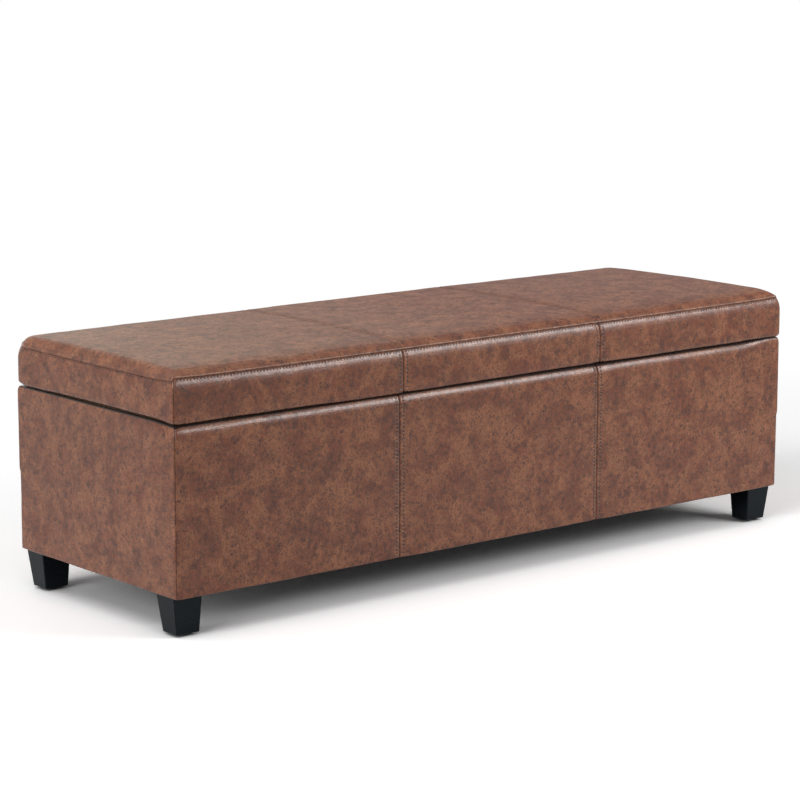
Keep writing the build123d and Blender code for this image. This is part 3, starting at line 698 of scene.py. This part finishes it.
def crown(bm, sizes, rise_at):
    """Raises the middle of the seat as its cloth rose, less towards the back right corner and the front edge."""
    for vert in bm.verts:
        back_right = ramp(vert.co.x, 0.0, BAND[1].x) * ramp(vert.co.y, -0.05, BAND[1].y)
        front_edge = 1 - ramp(vert.co.y, BAND[0].y + 0.005, BAND[0].y + 0.045)
        rise = rise_at(vert.co) - 0.6 * back_right - 0.7 * front_edge
        vert.co.z += ramp(vert.co.z, CAP[0].z, CAP[0].z + 0.010) * sizes.crown * rise


def roll_depth(height, sizes):
    """Depth of the roll round the lid's top at a height."""
    rise = 1 - (CAP[1].z - sizes.crown - height) / sizes.roll_height
    return sizes.roll * (1 - math.sqrt(1 - min(1.0, max(0.0, rise)) ** 2))


def seam_dip(co, sizes):
    """Fall of the lid's seam along its ends, away from their corners."""
    gap_x, gap_y = gaps(co, BAND)
    return sizes.dip * ramp(gap_y - gap_x, 0.0, 0.004) * (1 - ramp(gap_x, 0.012, 0.020))


def lower_seam(bm, sizes):
    """Slides the lid's seam down the roll along its ends."""
    seam, top = BAND[1].z, CAP[1].z - sizes.crown
    foot = top - sizes.roll_height
    for vert in bm.verts:
        height = vert.co.z
        share = (top - height) / (top - seam) if height > seam else (height - foot) / (seam - foot)
        fall = seam_dip(vert.co, sizes) * max(0.0, share)
        out = roll_depth(height, sizes) - roll_depth(height - fall, sizes)
        vert.co.x += math.copysign(out, vert.co.x)
        vert.co.z -= fall


def perk(bm, sizes):
    """Lifts the lid's seam and edges at its front corners."""
    for vert in bm.verts:
        reach = math.hypot(BAND[1].x - abs(vert.co.x), vert.co.y - BAND[0].y)
        vert.co.z += sizes.perk * ramp(vert.co.z, BAND[0].z + 0.010, BAND[1].z) * math.exp(-reach / CORNER_REACH)


def sag(name, co):
    """Share of the lid's droop along the lower edge of one panel of its band."""
    if name == "front_left":
        return 1.0 + 0.8 * ramp(co.x, -0.45, LID_SEAMS[0])
    if name == "front_centre":
        return 1.4 - 0.4 * ramp(co.x, *LID_SEAMS)
    if name == "front_right":
        return 1.0
    corner = {"left": 0.9, "right": 0.9, "back": 0.0}[name]
    return 0.1 + corner * (1 - ramp(co.y - BAND[0].y, 0.0, 0.05)) + 0.5 * ramp(co.y, 0.08, 0.14)


def hang(bm, sizes, name):
    """Lets the lower edge of the lid's band sag over the base, but not along the back."""
    for vert in bm.verts:
        near_edge = min(1.0, max(0.0, 1 - (vert.co.z - BAND[0].z) / 0.016))
        outside = 1 - ramp(min(gaps(vert.co, BAND)), 0.0025, 0.010)
        before_back = 1 - ramp(vert.co.y, BAND[1].y - 0.025, BAND[1].y - 0.010)
        vert.co.z -= sizes.droop * sag(name, vert.co) * near_edge * before_back * outside


def unworn(co):
    """Wear of a piece that nothing rubs."""
    return 0.0


def piece_from(bm, name, material, count, worn=unworn):
    """Object from a finished mesh, smooth but for its sharp folds, with its place in the hide and its wear, which
    also carries a painted sheen.
    """
    layer = bm.verts.layers.float_vector.new("cut")
    wear_and_painted_highlight = bm.verts.layers.float.new("worn")
    shift = Vector((1.37 * count, 0.83 * count, 2.11 * count))
    for vert in bm.verts:
        vert[layer] = shift
        vert[wear_and_painted_highlight] = worn(vert.co)
    mesh = bpy.data.meshes.new(name)
    bm.to_mesh(mesh)
    bm.free()
    mesh.polygons.foreach_set("use_smooth", [True] * len(mesh.polygons))
    mesh.set_sharp_from_angle(angle=SHARP_FOLD)
    mesh.materials.append(material)
    piece = bpy.data.objects.new(name, mesh)
    bpy.context.scene.collection.objects.link(piece)
    return piece


def side_planes(box, side):
    """Planes that bound a front, back or end panel at the mitred corners: points and outward normals."""
    middle = (box[1].x - box[1].y) * AXES["x"]
    sign = {"front": -1, "back": 1, "left": -1, "right": 1}[side]
    if side in ("front", "back"):
        slopes = [(-middle, Vector((-1, -sign, 0))), (middle, Vector((1, -sign, 0)))]
        return slopes + [(Vector(), Vector((0, -sign, 0)))]
    return [(sign * middle, Vector((-sign, way, 0))) for way in (-1, 1)]


def panel(shell, planes, cuts):
    """Part of a shell inside some planes, sliced fine enough to bend."""
    bm = shell.copy()
    for point, normal in planes:
        cut(bm, point, normal, clear=True)
    for axis, places in cuts.items():
        reached = [vert.co["xyz".index(axis)] for vert in bm.verts]
        low, high = min(reached), max(reached)
        slices(bm, axis, [place for place in places if low < place < high])
    return bm


def thirds(seams):
    """Names and limiting planes of the three panels between two seams."""
    left, right = (seam * AXES["x"] for seam in seams)
    return {
        "left": [(left, AXES["x"])],
        "centre": [(left, -AXES["x"]), (right, AXES["x"])],
        "right": [(right, -AXES["x"])],
    }


def front_panels(box, seams):
    """Limiting planes of every panel round a box whose front is in three."""
    panels = {side: side_planes(box, side) for side in ("back", "left", "right")}
    for name, planes in thirds(seams).items():
        panels[f"front_{name}"] = side_planes(box, "front") + planes
    return panels


class BENCH_OT_base_covers(bpy.types.Operator):
    """Sews the base's cover: three front panels, two ends and a back"""

    bl_idname = "bench.base_covers"
    bl_label = "Base covers"

    def execute(self, context):
        sizes = context.scene.bench_sizes
        material = finish_of("distressed_leather", leather, context.scene.bench_colours, sizes)
        shell = base_shell(sizes)
        cuts = {
            **plan_cuts(BASE, BASE_STEP, BASE_SEAMS),
            "z": stations(BASE[0].z, BASE[1].z, BASE_STEP),
        }

        def depth(co):
            corner = from_corner(co, BASE)
            fall = seam_fall(corner, co.z, sizes, 1.0, pillow=0.35, groove=0.6, pucker=0.5) + slack(co, sizes)
            if on_front(co, BASE):
                fall += sum(seam_fall(abs(co.x - seam), co.z, sizes, 9.0 + seam) for seam in BASE_SEAMS)
            return fall

        # Painted shade on the base's rim under the lid's edge, and along the seams and upright corners
        def painted_shade(co):
            rim = between(min(gaps(co, BASE)), *RIM_SHADE) if co.z > LIP_LOW else 0.0
            return max(rim, bell(near_seam(co, BASE, BASE_SEAMS), SEAM_LINE))

        def seam(co):
            return beside_front_seams(co, BASE, BASE_SEAMS)

        # Wear roughens the rim's top; on the left part it also carries the painted sheen
        def worn(co):
            return ramp(min(gaps(co, BASE)), *RIM_WEAR) if co.z > LIP_LOW else 0.0

        for count, (name, planes) in enumerate(front_panels(BASE, BASE_SEAMS).items()):
            bm = panel(shell, planes, cuts)
            round_corners(bm, BASE, sizes.corner, sizes.corner)
            settle(bm, depth, painted_shade, seam)
            tighten(bm, sizes)
            bmesh.ops.solidify(bm, geom=bm.faces[:], thickness=sizes.hide)
            piece = piece_from(bm, f"base_cover_{name}", material, count, worn)
            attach(piece, "base")
            for node in BASE_NODES[name]:
                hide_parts(node)
        shell.free()
        return {"FINISHED"}


class BENCH_OT_lid_bands(bpy.types.Operator):
    """Sews the upright band round the lid: three front panels, two ends and a back"""

    bl_idname = "bench.lid_bands"
    bl_label = "Lid bands"

    def execute(self, context):
        sizes = context.scene.bench_sizes
        material = finish_of("distressed_leather", leather, context.scene.bench_colours, sizes)
        shell = lid_shell(sizes)
        cut(shell, BAND[1], AXES["z"], clear=True)
        cuts = {
            **plan_cuts(BAND, LID_STEP, LID_SEAMS),
            "z": stations(BAND[0].z, BAND[1].z, BAND_STEP, [BAND[1].z]),
        }

        def depth(co):
            corner, along = from_corner(co, BAND), along_side(co, BAND)
            fall = seam_fall(corner, co.z, sizes, 4.0, pillow=0.35, groove=0.6, pucker=0.5) + slack(co, sizes)
            fall += seam_fall(BAND[1].z - co.z, along, sizes, 2.0, pillow=0.3, groove=0.8, pucker=1.3)
            if on_front(co, BAND):
                fall += sum(seam_fall(abs(co.x - seam), co.z, sizes, 6.0 + seam) for seam in LID_SEAMS)
            return fall

        # Painted shade under the lid's lower edge, along the upright seams and corners, and along the lid's seam
        def painted_shade(co):
            under = between(min(gaps(co, BAND)), *LID_SHADE) if co.z < BAND[0].z + LID_UNDERSIDE else 0.0
            upright = bell(near_seam(co, BAND, LID_SEAMS), SEAM_LINE)
            return max(under, upright, 0.25 * bell(BAND[1].z - co.z, WELT_LINE))

        def seam(co):
            return beside_front_seams(co, BAND, LID_SEAMS)

        def welt(co):
            return BAND[1].z - co.z, along_side(co, BAND)

        for count, (name, planes) in enumerate(front_panels(BAND, LID_SEAMS).items()):
            bm = panel(shell, planes, cuts)
            round_corners(bm, BAND, sizes.corner, sizes.back_corner)
            settle(bm, depth, painted_shade, seam, welt)
            lower_seam(bm, sizes)
            perk(bm, sizes)
            hang(bm, sizes, name)
            bmesh.ops.solidify(bm, geom=bm.faces[:], thickness=sizes.hide)
            piece = piece_from(bm, f"lid_band_{name}", material, 10 + count)
            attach(piece, "lid")
            for node in LID_NODES[name]:
                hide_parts(node)
        shell.free()
        return {"FINISHED"}


class BENCH_OT_seat_panels(bpy.types.Operator):
    """Sews the three panels of the padded seat"""

    bl_idname = "bench.seat_panels"
    bl_label = "Seat panels"

    def execute(self, context):
        sizes = context.scene.bench_sizes
        material = finish_of("distressed_leather", leather, context.scene.bench_colours, sizes)
        shell = lid_shell(sizes)
        cut(shell, BAND[1], -AXES["z"], clear=True)
        cuts = {
            **plan_cuts(BAND, LID_STEP, LID_SEAMS),
            "z": stations(BAND[1].z, CAP[1].z - sizes.crown, SEAT_EDGE_STEP, [BAND[1].z]),
        }

        def depth(co):
            fall = slack(co, sizes)
            if min(gaps(co, BAND)) < sizes.roll:
                rise, along = co.z - BAND[1].z, along_side(co, BAND)
                fall += seam_fall(rise, along, sizes, 2.0, pillow=0.2, groove=0.8, pucker=0.8)
                fall -= sizes.ridge * bell(rise - sizes.fold, GROOVE_WIDTH)
            for seam in LID_SEAMS:
                fall += seam_fall(abs(co.x - seam), co.y, sizes, 6.0 + seam, pillow=0.4, groove=0.35)
            return fall

        # Painted shade along the seat's seams and along the lid's seam
        def painted_shade(co):
            near = bell(nearest(co.x, LID_SEAMS), SEAM_LINE)
            if min(gaps(co, BAND)) > sizes.roll:
                return 0.3 * near
            return max(near, 0.25 * bell(co.z - BAND[1].z, WELT_LINE))

        def seam(co):
            return (nearest(co.x, LID_SEAMS), co.z) if min(gaps(co, BAND)) < sizes.roll else far(co)

        def welt(co):
            return (BAND[1].z - co.z, co.x) if on_front(co, BAND) else far(co)

        # Wear roughens the seat; on its left part it also carries the painted sheen
        def worn(co):
            return ramp(min(gaps(co, BAND)), *SEAT_WEAR)

        rise_at = blown(sizes)
        for count, (name, planes) in enumerate(thirds(LID_SEAMS).items()):
            bm = panel(shell, planes, cuts)
            round_corners(bm, BAND, sizes.corner, sizes.back_corner)
            settle(bm, depth, painted_shade, seam, welt)
            lower_seam(bm, sizes)
            crown(bm, sizes, rise_at)
            perk(bm, sizes)
            bmesh.ops.solidify(bm, geom=bm.faces[:], thickness=sizes.hide)
            piece = piece_from(bm, f"seat_{name}", material, 20 + count, worn)
            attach(piece, "lid")
            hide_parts(f"lid_top_cover_{name}", "lid_wadding", "lid_foam")
        shell.free()
        return {"FINISHED"}


def trees_of(*names):
    """Search trees over the faces of some pieces."""
    graph = bpy.context.evaluated_depsgraph_get()
    return [BVHTree.FromObject(bpy.data.objects[name], graph) for name in names]


def touch(trees, origin, way):
    """First point that a ray meets, and its normal."""
    hits = [tree.ray_cast(Vector(origin), Vector(way)) for tree in trees]
    hits = [hit for hit in hits if hit[0] is not None]
    return min(hits, key=lambda hit: hit[3])[:2] if hits else None


def pour(part, whole):
    """Moves what one mesh holds into another."""
    mesh = bpy.data.meshes.new("part")
    part.to_mesh(mesh)
    part.clear()
    whole.from_mesh(mesh)
    bpy.data.meshes.remove(mesh)


def sew(bm, trees, stitches, sizes):
    """Beads of thread between the points that pairs of rays meet, made a few at a time."""
    few = bmesh.new()
    for pair in stitches:
        hits = [touch(trees, *ray) for ray in pair]
        if None in hits:
            continue
        (start, normal), (finish, _) = hits
        along = (finish - start).normalized()
        across = normal.cross(along).normalized()
        turn = Matrix((across, along.cross(across), along)).transposed().to_4x4()
        size = Matrix.Diagonal((sizes.thread / 2, sizes.thread / 2, (finish - start).length / 2, 1))
        place = Matrix.Translation((start + finish) / 2 + normal * sizes.thread * 0.15) @ turn @ size
        bmesh.ops.create_uvsphere(few, u_segments=6, v_segments=5, radius=1.0, matrix=place)
        if len(few.faces) > 900:
            pour(few, bm)
    pour(few, bm)
    few.free()


def ends_of(low, high, sizes):
    """Ends of the stitches that fit between two limits, at whole steps of the pitch."""
    pitch, half = sizes.stitch_pitch, sizes.stitch_length / 2
    steps = range(math.ceil((low + half) / pitch), math.floor((high - half) / pitch) + 1)
    return [(step * pitch - half, step * pitch + half) for step in steps]


def front_rays(x, low, high, sizes):
    """Pairs of rays at a front face, up a line."""
    return [[((x, -1.0, z), (0, 1, 0)) for z in pair] for pair in ends_of(low, high, sizes)]


def seat_rays(x, sizes):
    """Pairs of rays down at the seat, from its front edge to its back edge."""
    reach = BAND[1].y - SEAT_ROW_MARGIN
    return [[((x, y, 1.0), (0, 0, -1)) for y in pair] for pair in ends_of(-reach, reach, sizes)]


class BENCH_OT_stitching(bpy.types.Operator):
    """Sews the rows of stitches along the seams"""

    bl_idname = "bench.stitching"
    bl_label = "Stitching"

    def execute(self, context):
        sizes = context.scene.bench_sizes
        material = finish_of("sewing_thread", thread_finish, context.scene.bench_colours)
        rows = {"base_stitches": bmesh.new(), "lid_seam_stitches": bmesh.new(), "lid_panel_stitches": bmesh.new()}
        base = trees_of(*(f"base_cover_front_{name}" for name in ("left", "centre", "right")))
        for seam in BASE_SEAMS:
            for side in (-sizes.row, sizes.row):
                rays = front_rays(seam + side, BASE[0].z + PANEL_ROW_MARGIN, BASE[1].z - RIM_ROW_MARGIN, sizes)
                sew(rows["base_stitches"], base, rays, sizes)
        band = trees_of(*(f"lid_band_front_{name}" for name in ("left", "centre", "right")))
        seat = trees_of("seat_left", "seat_centre", "seat_right")
        for seam in LID_SEAMS:
            for side in (-sizes.row, sizes.row):
                low, high = BAND[0].z + PANEL_ROW_MARGIN, BAND[1].z - PANEL_ROW_MARGIN
                rays = front_rays(seam + side, low, high, sizes)
                sew(rows["lid_panel_stitches"], band, rays, sizes)
                sew(rows["lid_panel_stitches"], seat, seat_rays(seam + side, sizes), sizes)
        height = BAND[1].z - sizes.welt
        round_lid = band + seat + trees_of("lid_band_left", "lid_band_right", "lid_band_back")
        for way in (-1, 1):
            pairs = ends_of(BAND[0].x + WELT_ROW_MARGIN, BAND[1].x - WELT_ROW_MARGIN, sizes)
            rays = [[((x, way, height + self.lift(x, way, sizes)), (0, -way, 0)) for x in pair] for pair in pairs]
            sew(rows["lid_seam_stitches"], round_lid, rays, sizes)
            pairs = ends_of(BAND[0].y + WELT_ROW_MARGIN, BAND[1].y - WELT_ROW_MARGIN, sizes)
            rays = [[((way, y, height + self.lift(way, y, sizes)), (-way, 0, 0)) for y in pair] for pair in pairs]
            sew(rows["lid_seam_stitches"], round_lid, rays, sizes)
        for count, (name, bm) in enumerate(rows.items()):
            piece = piece_from(bm, name, material, count)
            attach(piece, "base" if name.startswith("base") else "lid")
        return {"FINISHED"}

    def lift(self, x, y, sizes):
        """Rise of the lid's seam at a place on its outline."""
        x, y = min(abs(x), BAND[1].x), max(-BAND[1].y, min(BAND[1].y, y))
        rise = sizes.perk * math.exp(-math.hypot(BAND[1].x - x, y - BAND[0].y) / CORNER_REACH)
        return rise - seam_dip(Vector((x, y, 0)), sizes)


class BENCH_OT_linings(bpy.types.Operator):
    """Lays the cloth inside the box, under its floor and under the lid"""

    bl_idname = "bench.linings"
    bl_label = "Linings"

    def execute(self, context):
        material = finish_of("woven_lining", lining_finish, context.scene.bench_colours)
        self.line_room(material)
        self.lay("dust_cloth", DUST, material, "base", "dust_cover", "floor_panel")
        self.lay("lid_lining_cloth", LID_LINING, material, "lid", "lid_lining", "lid_board")
        return {"FINISHED"}

    def line_room(self, material):
        """Lining of the floor and walls, drawn in round the corner posts."""
        half_x, half_y = ROOM[1].x - LINING_THICKNESS, ROOM[1].y - LINING_THICKNESS
        post_x, post_y = half_x - POST_SIZE, half_y - POST_SIZE
        bm = bmesh.new()
        bmesh.ops.create_grid(bm, x_segments=1, y_segments=1, size=1.0)
        floor = Matrix.Translation((0, 0, ROOM[0].z + LINING_THICKNESS)) @ Matrix.Diagonal((half_x, half_y, 1, 1))
        bmesh.ops.transform(bm, matrix=floor, verts=bm.verts[:])
        slices(bm, "x", (-post_x, post_x))
        slices(bm, "y", (-post_y, post_y))
        middles = {face: face.calc_center_median() for face in bm.faces}
        corners = [face for face, at in middles.items() if abs(at.x) > post_x and abs(at.y) > post_y]
        bmesh.ops.delete(bm, geom=corners, context="FACES")
        rim = [edge for edge in bm.edges if edge.is_boundary]
        walls = bmesh.ops.extrude_edge_only(bm, edges=rim)["geom"]
        upper = [v for v in walls if isinstance(v, bmesh.types.BMVert)]
        bmesh.ops.translate(bm, verts=upper, vec=(0, 0, ROOM[1].z - ROOM[0].z - LINING_THICKNESS))
        bmesh.ops.recalc_face_normals(bm, faces=bm.faces[:])
        if sum(f.normal.z * f.calc_area() for f in bm.faces) < 0:
            bmesh.ops.reverse_faces(bm, faces=bm.faces[:])
        slices(bm, "x", stations(-half_x, half_x, LINING_STEP))
        slices(bm, "y", stations(-half_y, half_y, LINING_STEP))
        slices(bm, "z", stations(ROOM[0].z, ROOM[1].z, LINING_STEP))
        bm.normal_update()
        area = sum(face.calc_area() for face in bm.faces)
        for vert in bm.verts:
            vert.co += vert.normal * LINING_SLACK * abs(wander(vert.co, 0.06, 1.3))
        bmesh.ops.solidify(bm, geom=bm.faces[:], thickness=LINING_THICKNESS)
        piece = piece_from(bm, "storage_lining_cloth", material, 0)
        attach(piece, "base")
        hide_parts("storage_lining")

    def lay(self, name, box, material, body, node, board):
        """Flat cloth held under a board, hanging a little inside its edges."""
        bm = bmesh.new()
        bmesh.ops.create_grid(bm, x_segments=90, y_segments=30, size=1.0)
        size = (box[1] - box[0]) / 2
        middle = (box[1] + box[0]) / 2
        place = Matrix.Translation((middle.x, middle.y, box[0].z + FLAT_CLOTH_RISE))
        bmesh.ops.transform(bm, matrix=place @ Matrix.Diagonal((size.x, size.y, 1, 1)), verts=bm.verts[:])
        bmesh.ops.reverse_faces(bm, faces=bm.faces[:])
        bm.normal_update()
        for vert in bm.verts:
            edge = min(gaps(vert.co, box))
            vert.co.z -= FLAT_CLOTH_SAG * min(1.0, edge / 0.05) * (0.6 + 0.6 * wander(vert.co, 0.07, 2.9))
        bmesh.ops.solidify(bm, geom=bm.faces[:], thickness=FLAT_CLOTH_THICKNESS)
        piece = piece_from(bm, name, material, 0)
        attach(piece, body)
        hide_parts(node)


class BENCH_OT_feet(bpy.types.Operator):
    """Paints the feet and finishes their glides"""

    bl_idname = "bench.feet"
    bl_label = "Feet"

    def execute(self, context):
        paint = finish_of("painted_foot", foot_finish, context.scene.bench_colours)
        dress([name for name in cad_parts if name.endswith("_foot")], paint)
        dress(["foot_glides", "rim_bumpers"], finish_of("moulded_black", rubber_finish))
        return {"FINISHED"}


class BENCH_OT_timber(bpy.types.Operator):
    """Finishes the panels, posts, board and rails inside"""

    bl_idname = "bench.timber"
    bl_label = "Timber"

    def execute(self, context):
        wood = finish_of("sawn_timber", timber_finish, context.scene.bench_colours)
        ends = ("_panel", "_posts", "_board", "_rail")
        dress([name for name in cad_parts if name.endswith(ends)], wood)
        return {"FINISHED"}


class BENCH_OT_fittings(bpy.types.Operator):
    """Finishes the hinges, lid stays, screws, bolts and nuts"""

    bl_idname = "bench.fittings"
    bl_label = "Fittings"

    def execute(self, context):
        steel = finish_of("plated_steel", steel_finish, context.scene.bench_colours)
        words = ("hinge_", "stay_", "foot_bolts", "foot_tee_nuts")
        dress([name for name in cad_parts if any(word in name for word in words)], steel)
        return {"FINISHED"}


def background_rays(tree):
    """1 for the rays that show the background: the camera's, and those off metal or through glass."""
    path = add(tree, "LightPath").outputs
    seen = combined(tree, path["Is Camera Ray"], path["Is Glossy Ray"], "MAXIMUM")
    return combined(tree, seen, path["Is Transmission Ray"], "MAXIMUM")


class BENCH_OT_stage(bpy.types.Operator):
    """Sets up the floor, soft light, white background and camera"""

    bl_idname = "bench.stage"
    bl_label = "Stage"

    def execute(self, context):
        scene = context.scene
        self.floor()
        self.sky(scene)
        self.lamp("left_light", way=(-0.95, -0.15, 0.35), level=0.60, spread=40)
        seat, seat_left, front = (-0.2, 0.0, 0.39), (-0.45, 0.0, 0.39), (0.05, -0.20, 0.32)
        self.softbox("top_softbox", (-1.15, -0.05, 1.55), seat, width=1.4, height=1.2, level=1.9)
        self.softbox("back_softbox", (-0.15, 1.70, 0.85), seat_left, width=0.9, height=0.7, level=2.0)
        self.softbox("front_softbox", (1.48, -1.99, 1.26), front, width=1.5, height=0.64, level=12.6)
        self.softbox("front_fill", (1.52, -1.92, 0.72), front, width=1.3, height=0.34, level=2.0)
        camera = bpy.data.cameras.new("camera")
        camera.lens = 130.67
        camera.sensor_width = 36.0
        holder = bpy.data.objects.new("camera", camera)
        holder.location = (-2.8730, -3.4890, 1.0958)
        holder.rotation_euler = (math.radians(79.362), 0, math.radians(-39.139))
        scene.collection.objects.link(holder)
        scene.camera = holder
        scene.view_settings.view_transform = "Standard"
        return {"FINISHED"}

    def floor(self):
        """Plain pale floor that keeps the shadow, with painted shade close round the bench."""
        bm = bmesh.new()
        bmesh.ops.create_grid(bm, x_segments=1, y_segments=1, size=40.0)
        mesh = bpy.data.meshes.new("floor")
        bm.to_mesh(mesh)
        bm.free()
        floor = bpy.data.objects.new("floor", mesh)
        bpy.context.scene.collection.objects.link(floor)
        material = bpy.data.materials.new("studio_floor")
        material.use_nodes = True
        tree = material.node_tree
        tree.nodes.remove(tree.nodes["Principled BSDF"])
        at = stretched(tree, add(tree, "TexCoord").outputs["Object"], (0.75, 1.0, 1.0))
        away = add(tree, "VectorMath", {0: at}, operation="LENGTH").outputs["Value"]
        # Painted shade: ambient occlusion darkens the floor under and beside the bench
        open_air = add(tree, "AmbientOcclusion", {"Distance": 0.10}, samples=6).outputs["AO"]
        near = add(tree, "BsdfDiffuse", {"Color": fit(tree, open_air, 0.0, 0.6, 0.3, 1.32)})
        white = add(tree, "Emission", {"Color": (1, 1, 1, 1), "Strength": 1.0})
        seen = add(tree, "MixShader", {0: fit(tree, away, 0.6, 1.5), 1: near.outputs[0], 2: white.outputs[0]})
        bounce = add(tree, "BsdfDiffuse", {"Color": (0.60, 0.60, 0.60, 1)})
        mixed = add(tree, "MixShader", {0: background_rays(tree), 1: bounce.outputs[0], 2: seen.outputs[0]})
        tree.links.new(mixed.outputs[0], tree.nodes["Material Output"].inputs["Surface"])
        mesh.materials.append(material)

    def sky(self, scene):
        """Soft light from all round, and a white background for what the camera, metal and glass see."""
        world = bpy.data.worlds.new("studio")
        scene.world = world
        world.use_nodes = True
        tree = world.node_tree
        dim = tree.nodes["Background"]
        dim.inputs["Color"].default_value = (1, 1, 1, 1)
        dim.inputs["Strength"].default_value = 0.22
        white = add(tree, "Background", {"Color": (1, 1, 1, 1), "Strength": 1.0})
        mixed = add(tree, "MixShader", {0: background_rays(tree), 1: dim.outputs[0], 2: white.outputs[0]})
        tree.links.new(mixed.outputs[0], tree.nodes["World Output"].inputs["Surface"])

    def lamp(self, name, way, level, spread):
        """Wide soft light from one direction; a level of 1 lights a white surface to white."""
        light = bpy.data.lights.new(name, "SUN")
        light.energy = level * math.pi
        light.angle = math.radians(spread)
        holder = bpy.data.objects.new(name, light)
        holder.rotation_euler = Vector(way).to_track_quat("Z", "Y").to_euler()
        bpy.context.scene.collection.objects.link(holder)

    def softbox(self, name, place, target, width, height, level):
        """Soft rectangular lamp at a place, turned to a target; its face glows at a level, of which 1 is white."""
        light = bpy.data.lights.new(name, "AREA")
        light.shape = "RECTANGLE"
        light.size, light.size_y = width, height
        light.energy = level * math.pi * width * height
        holder = bpy.data.objects.new(name, light)
        holder.location = place
        holder.rotation_euler = (Vector(place) - Vector(target)).to_track_quat("Z", "Y").to_euler()
        holder.visible_camera = False
        bpy.context.scene.collection.objects.link(holder)


class BENCH_PT_sidebar(bpy.types.Panel):
    """Sidebar panel of the bench"""

    bl_idname = "BENCH_PT_sidebar"
    bl_label = "Storage bench"
    bl_space_type = "VIEW_3D"
    bl_region_type = "UI"
    bl_category = "Storage bench"

    def draw(self, context):
        for operator in OPERATORS:
            self.layout.operator(operator.bl_idname)
        for group in (context.scene.bench_sizes, context.scene.bench_colours):
            for name in group.__annotations__:
                self.layout.prop(group, name)


OPERATORS = (
    BENCH_OT_stage,
    BENCH_OT_base_covers,
    BENCH_OT_lid_bands,
    BENCH_OT_seat_panels,
    BENCH_OT_stitching,
    BENCH_OT_linings,
    BENCH_OT_feet,
    BENCH_OT_timber,
    BENCH_OT_fittings,
)
CLASSES = (BenchSizes, BenchColours, *OPERATORS, BENCH_PT_sidebar)


def register():
    for item in CLASSES:
        bpy.utils.register_class(item)
    bpy.types.Scene.bench_sizes = PointerProperty(type=BenchSizes)
    bpy.types.Scene.bench_colours = PointerProperty(type=BenchColours)


def unregister():
    del bpy.types.Scene.bench_colours
    del bpy.types.Scene.bench_sizes
    for item in reversed(CLASSES):
        bpy.utils.unregister_class(item)


def main():
    register()
    for operator in OPERATORS:
        family, name = operator.bl_idname.split(".")
        getattr(getattr(bpy.ops, family), name)()


if __name__ == "__main__":
    main()
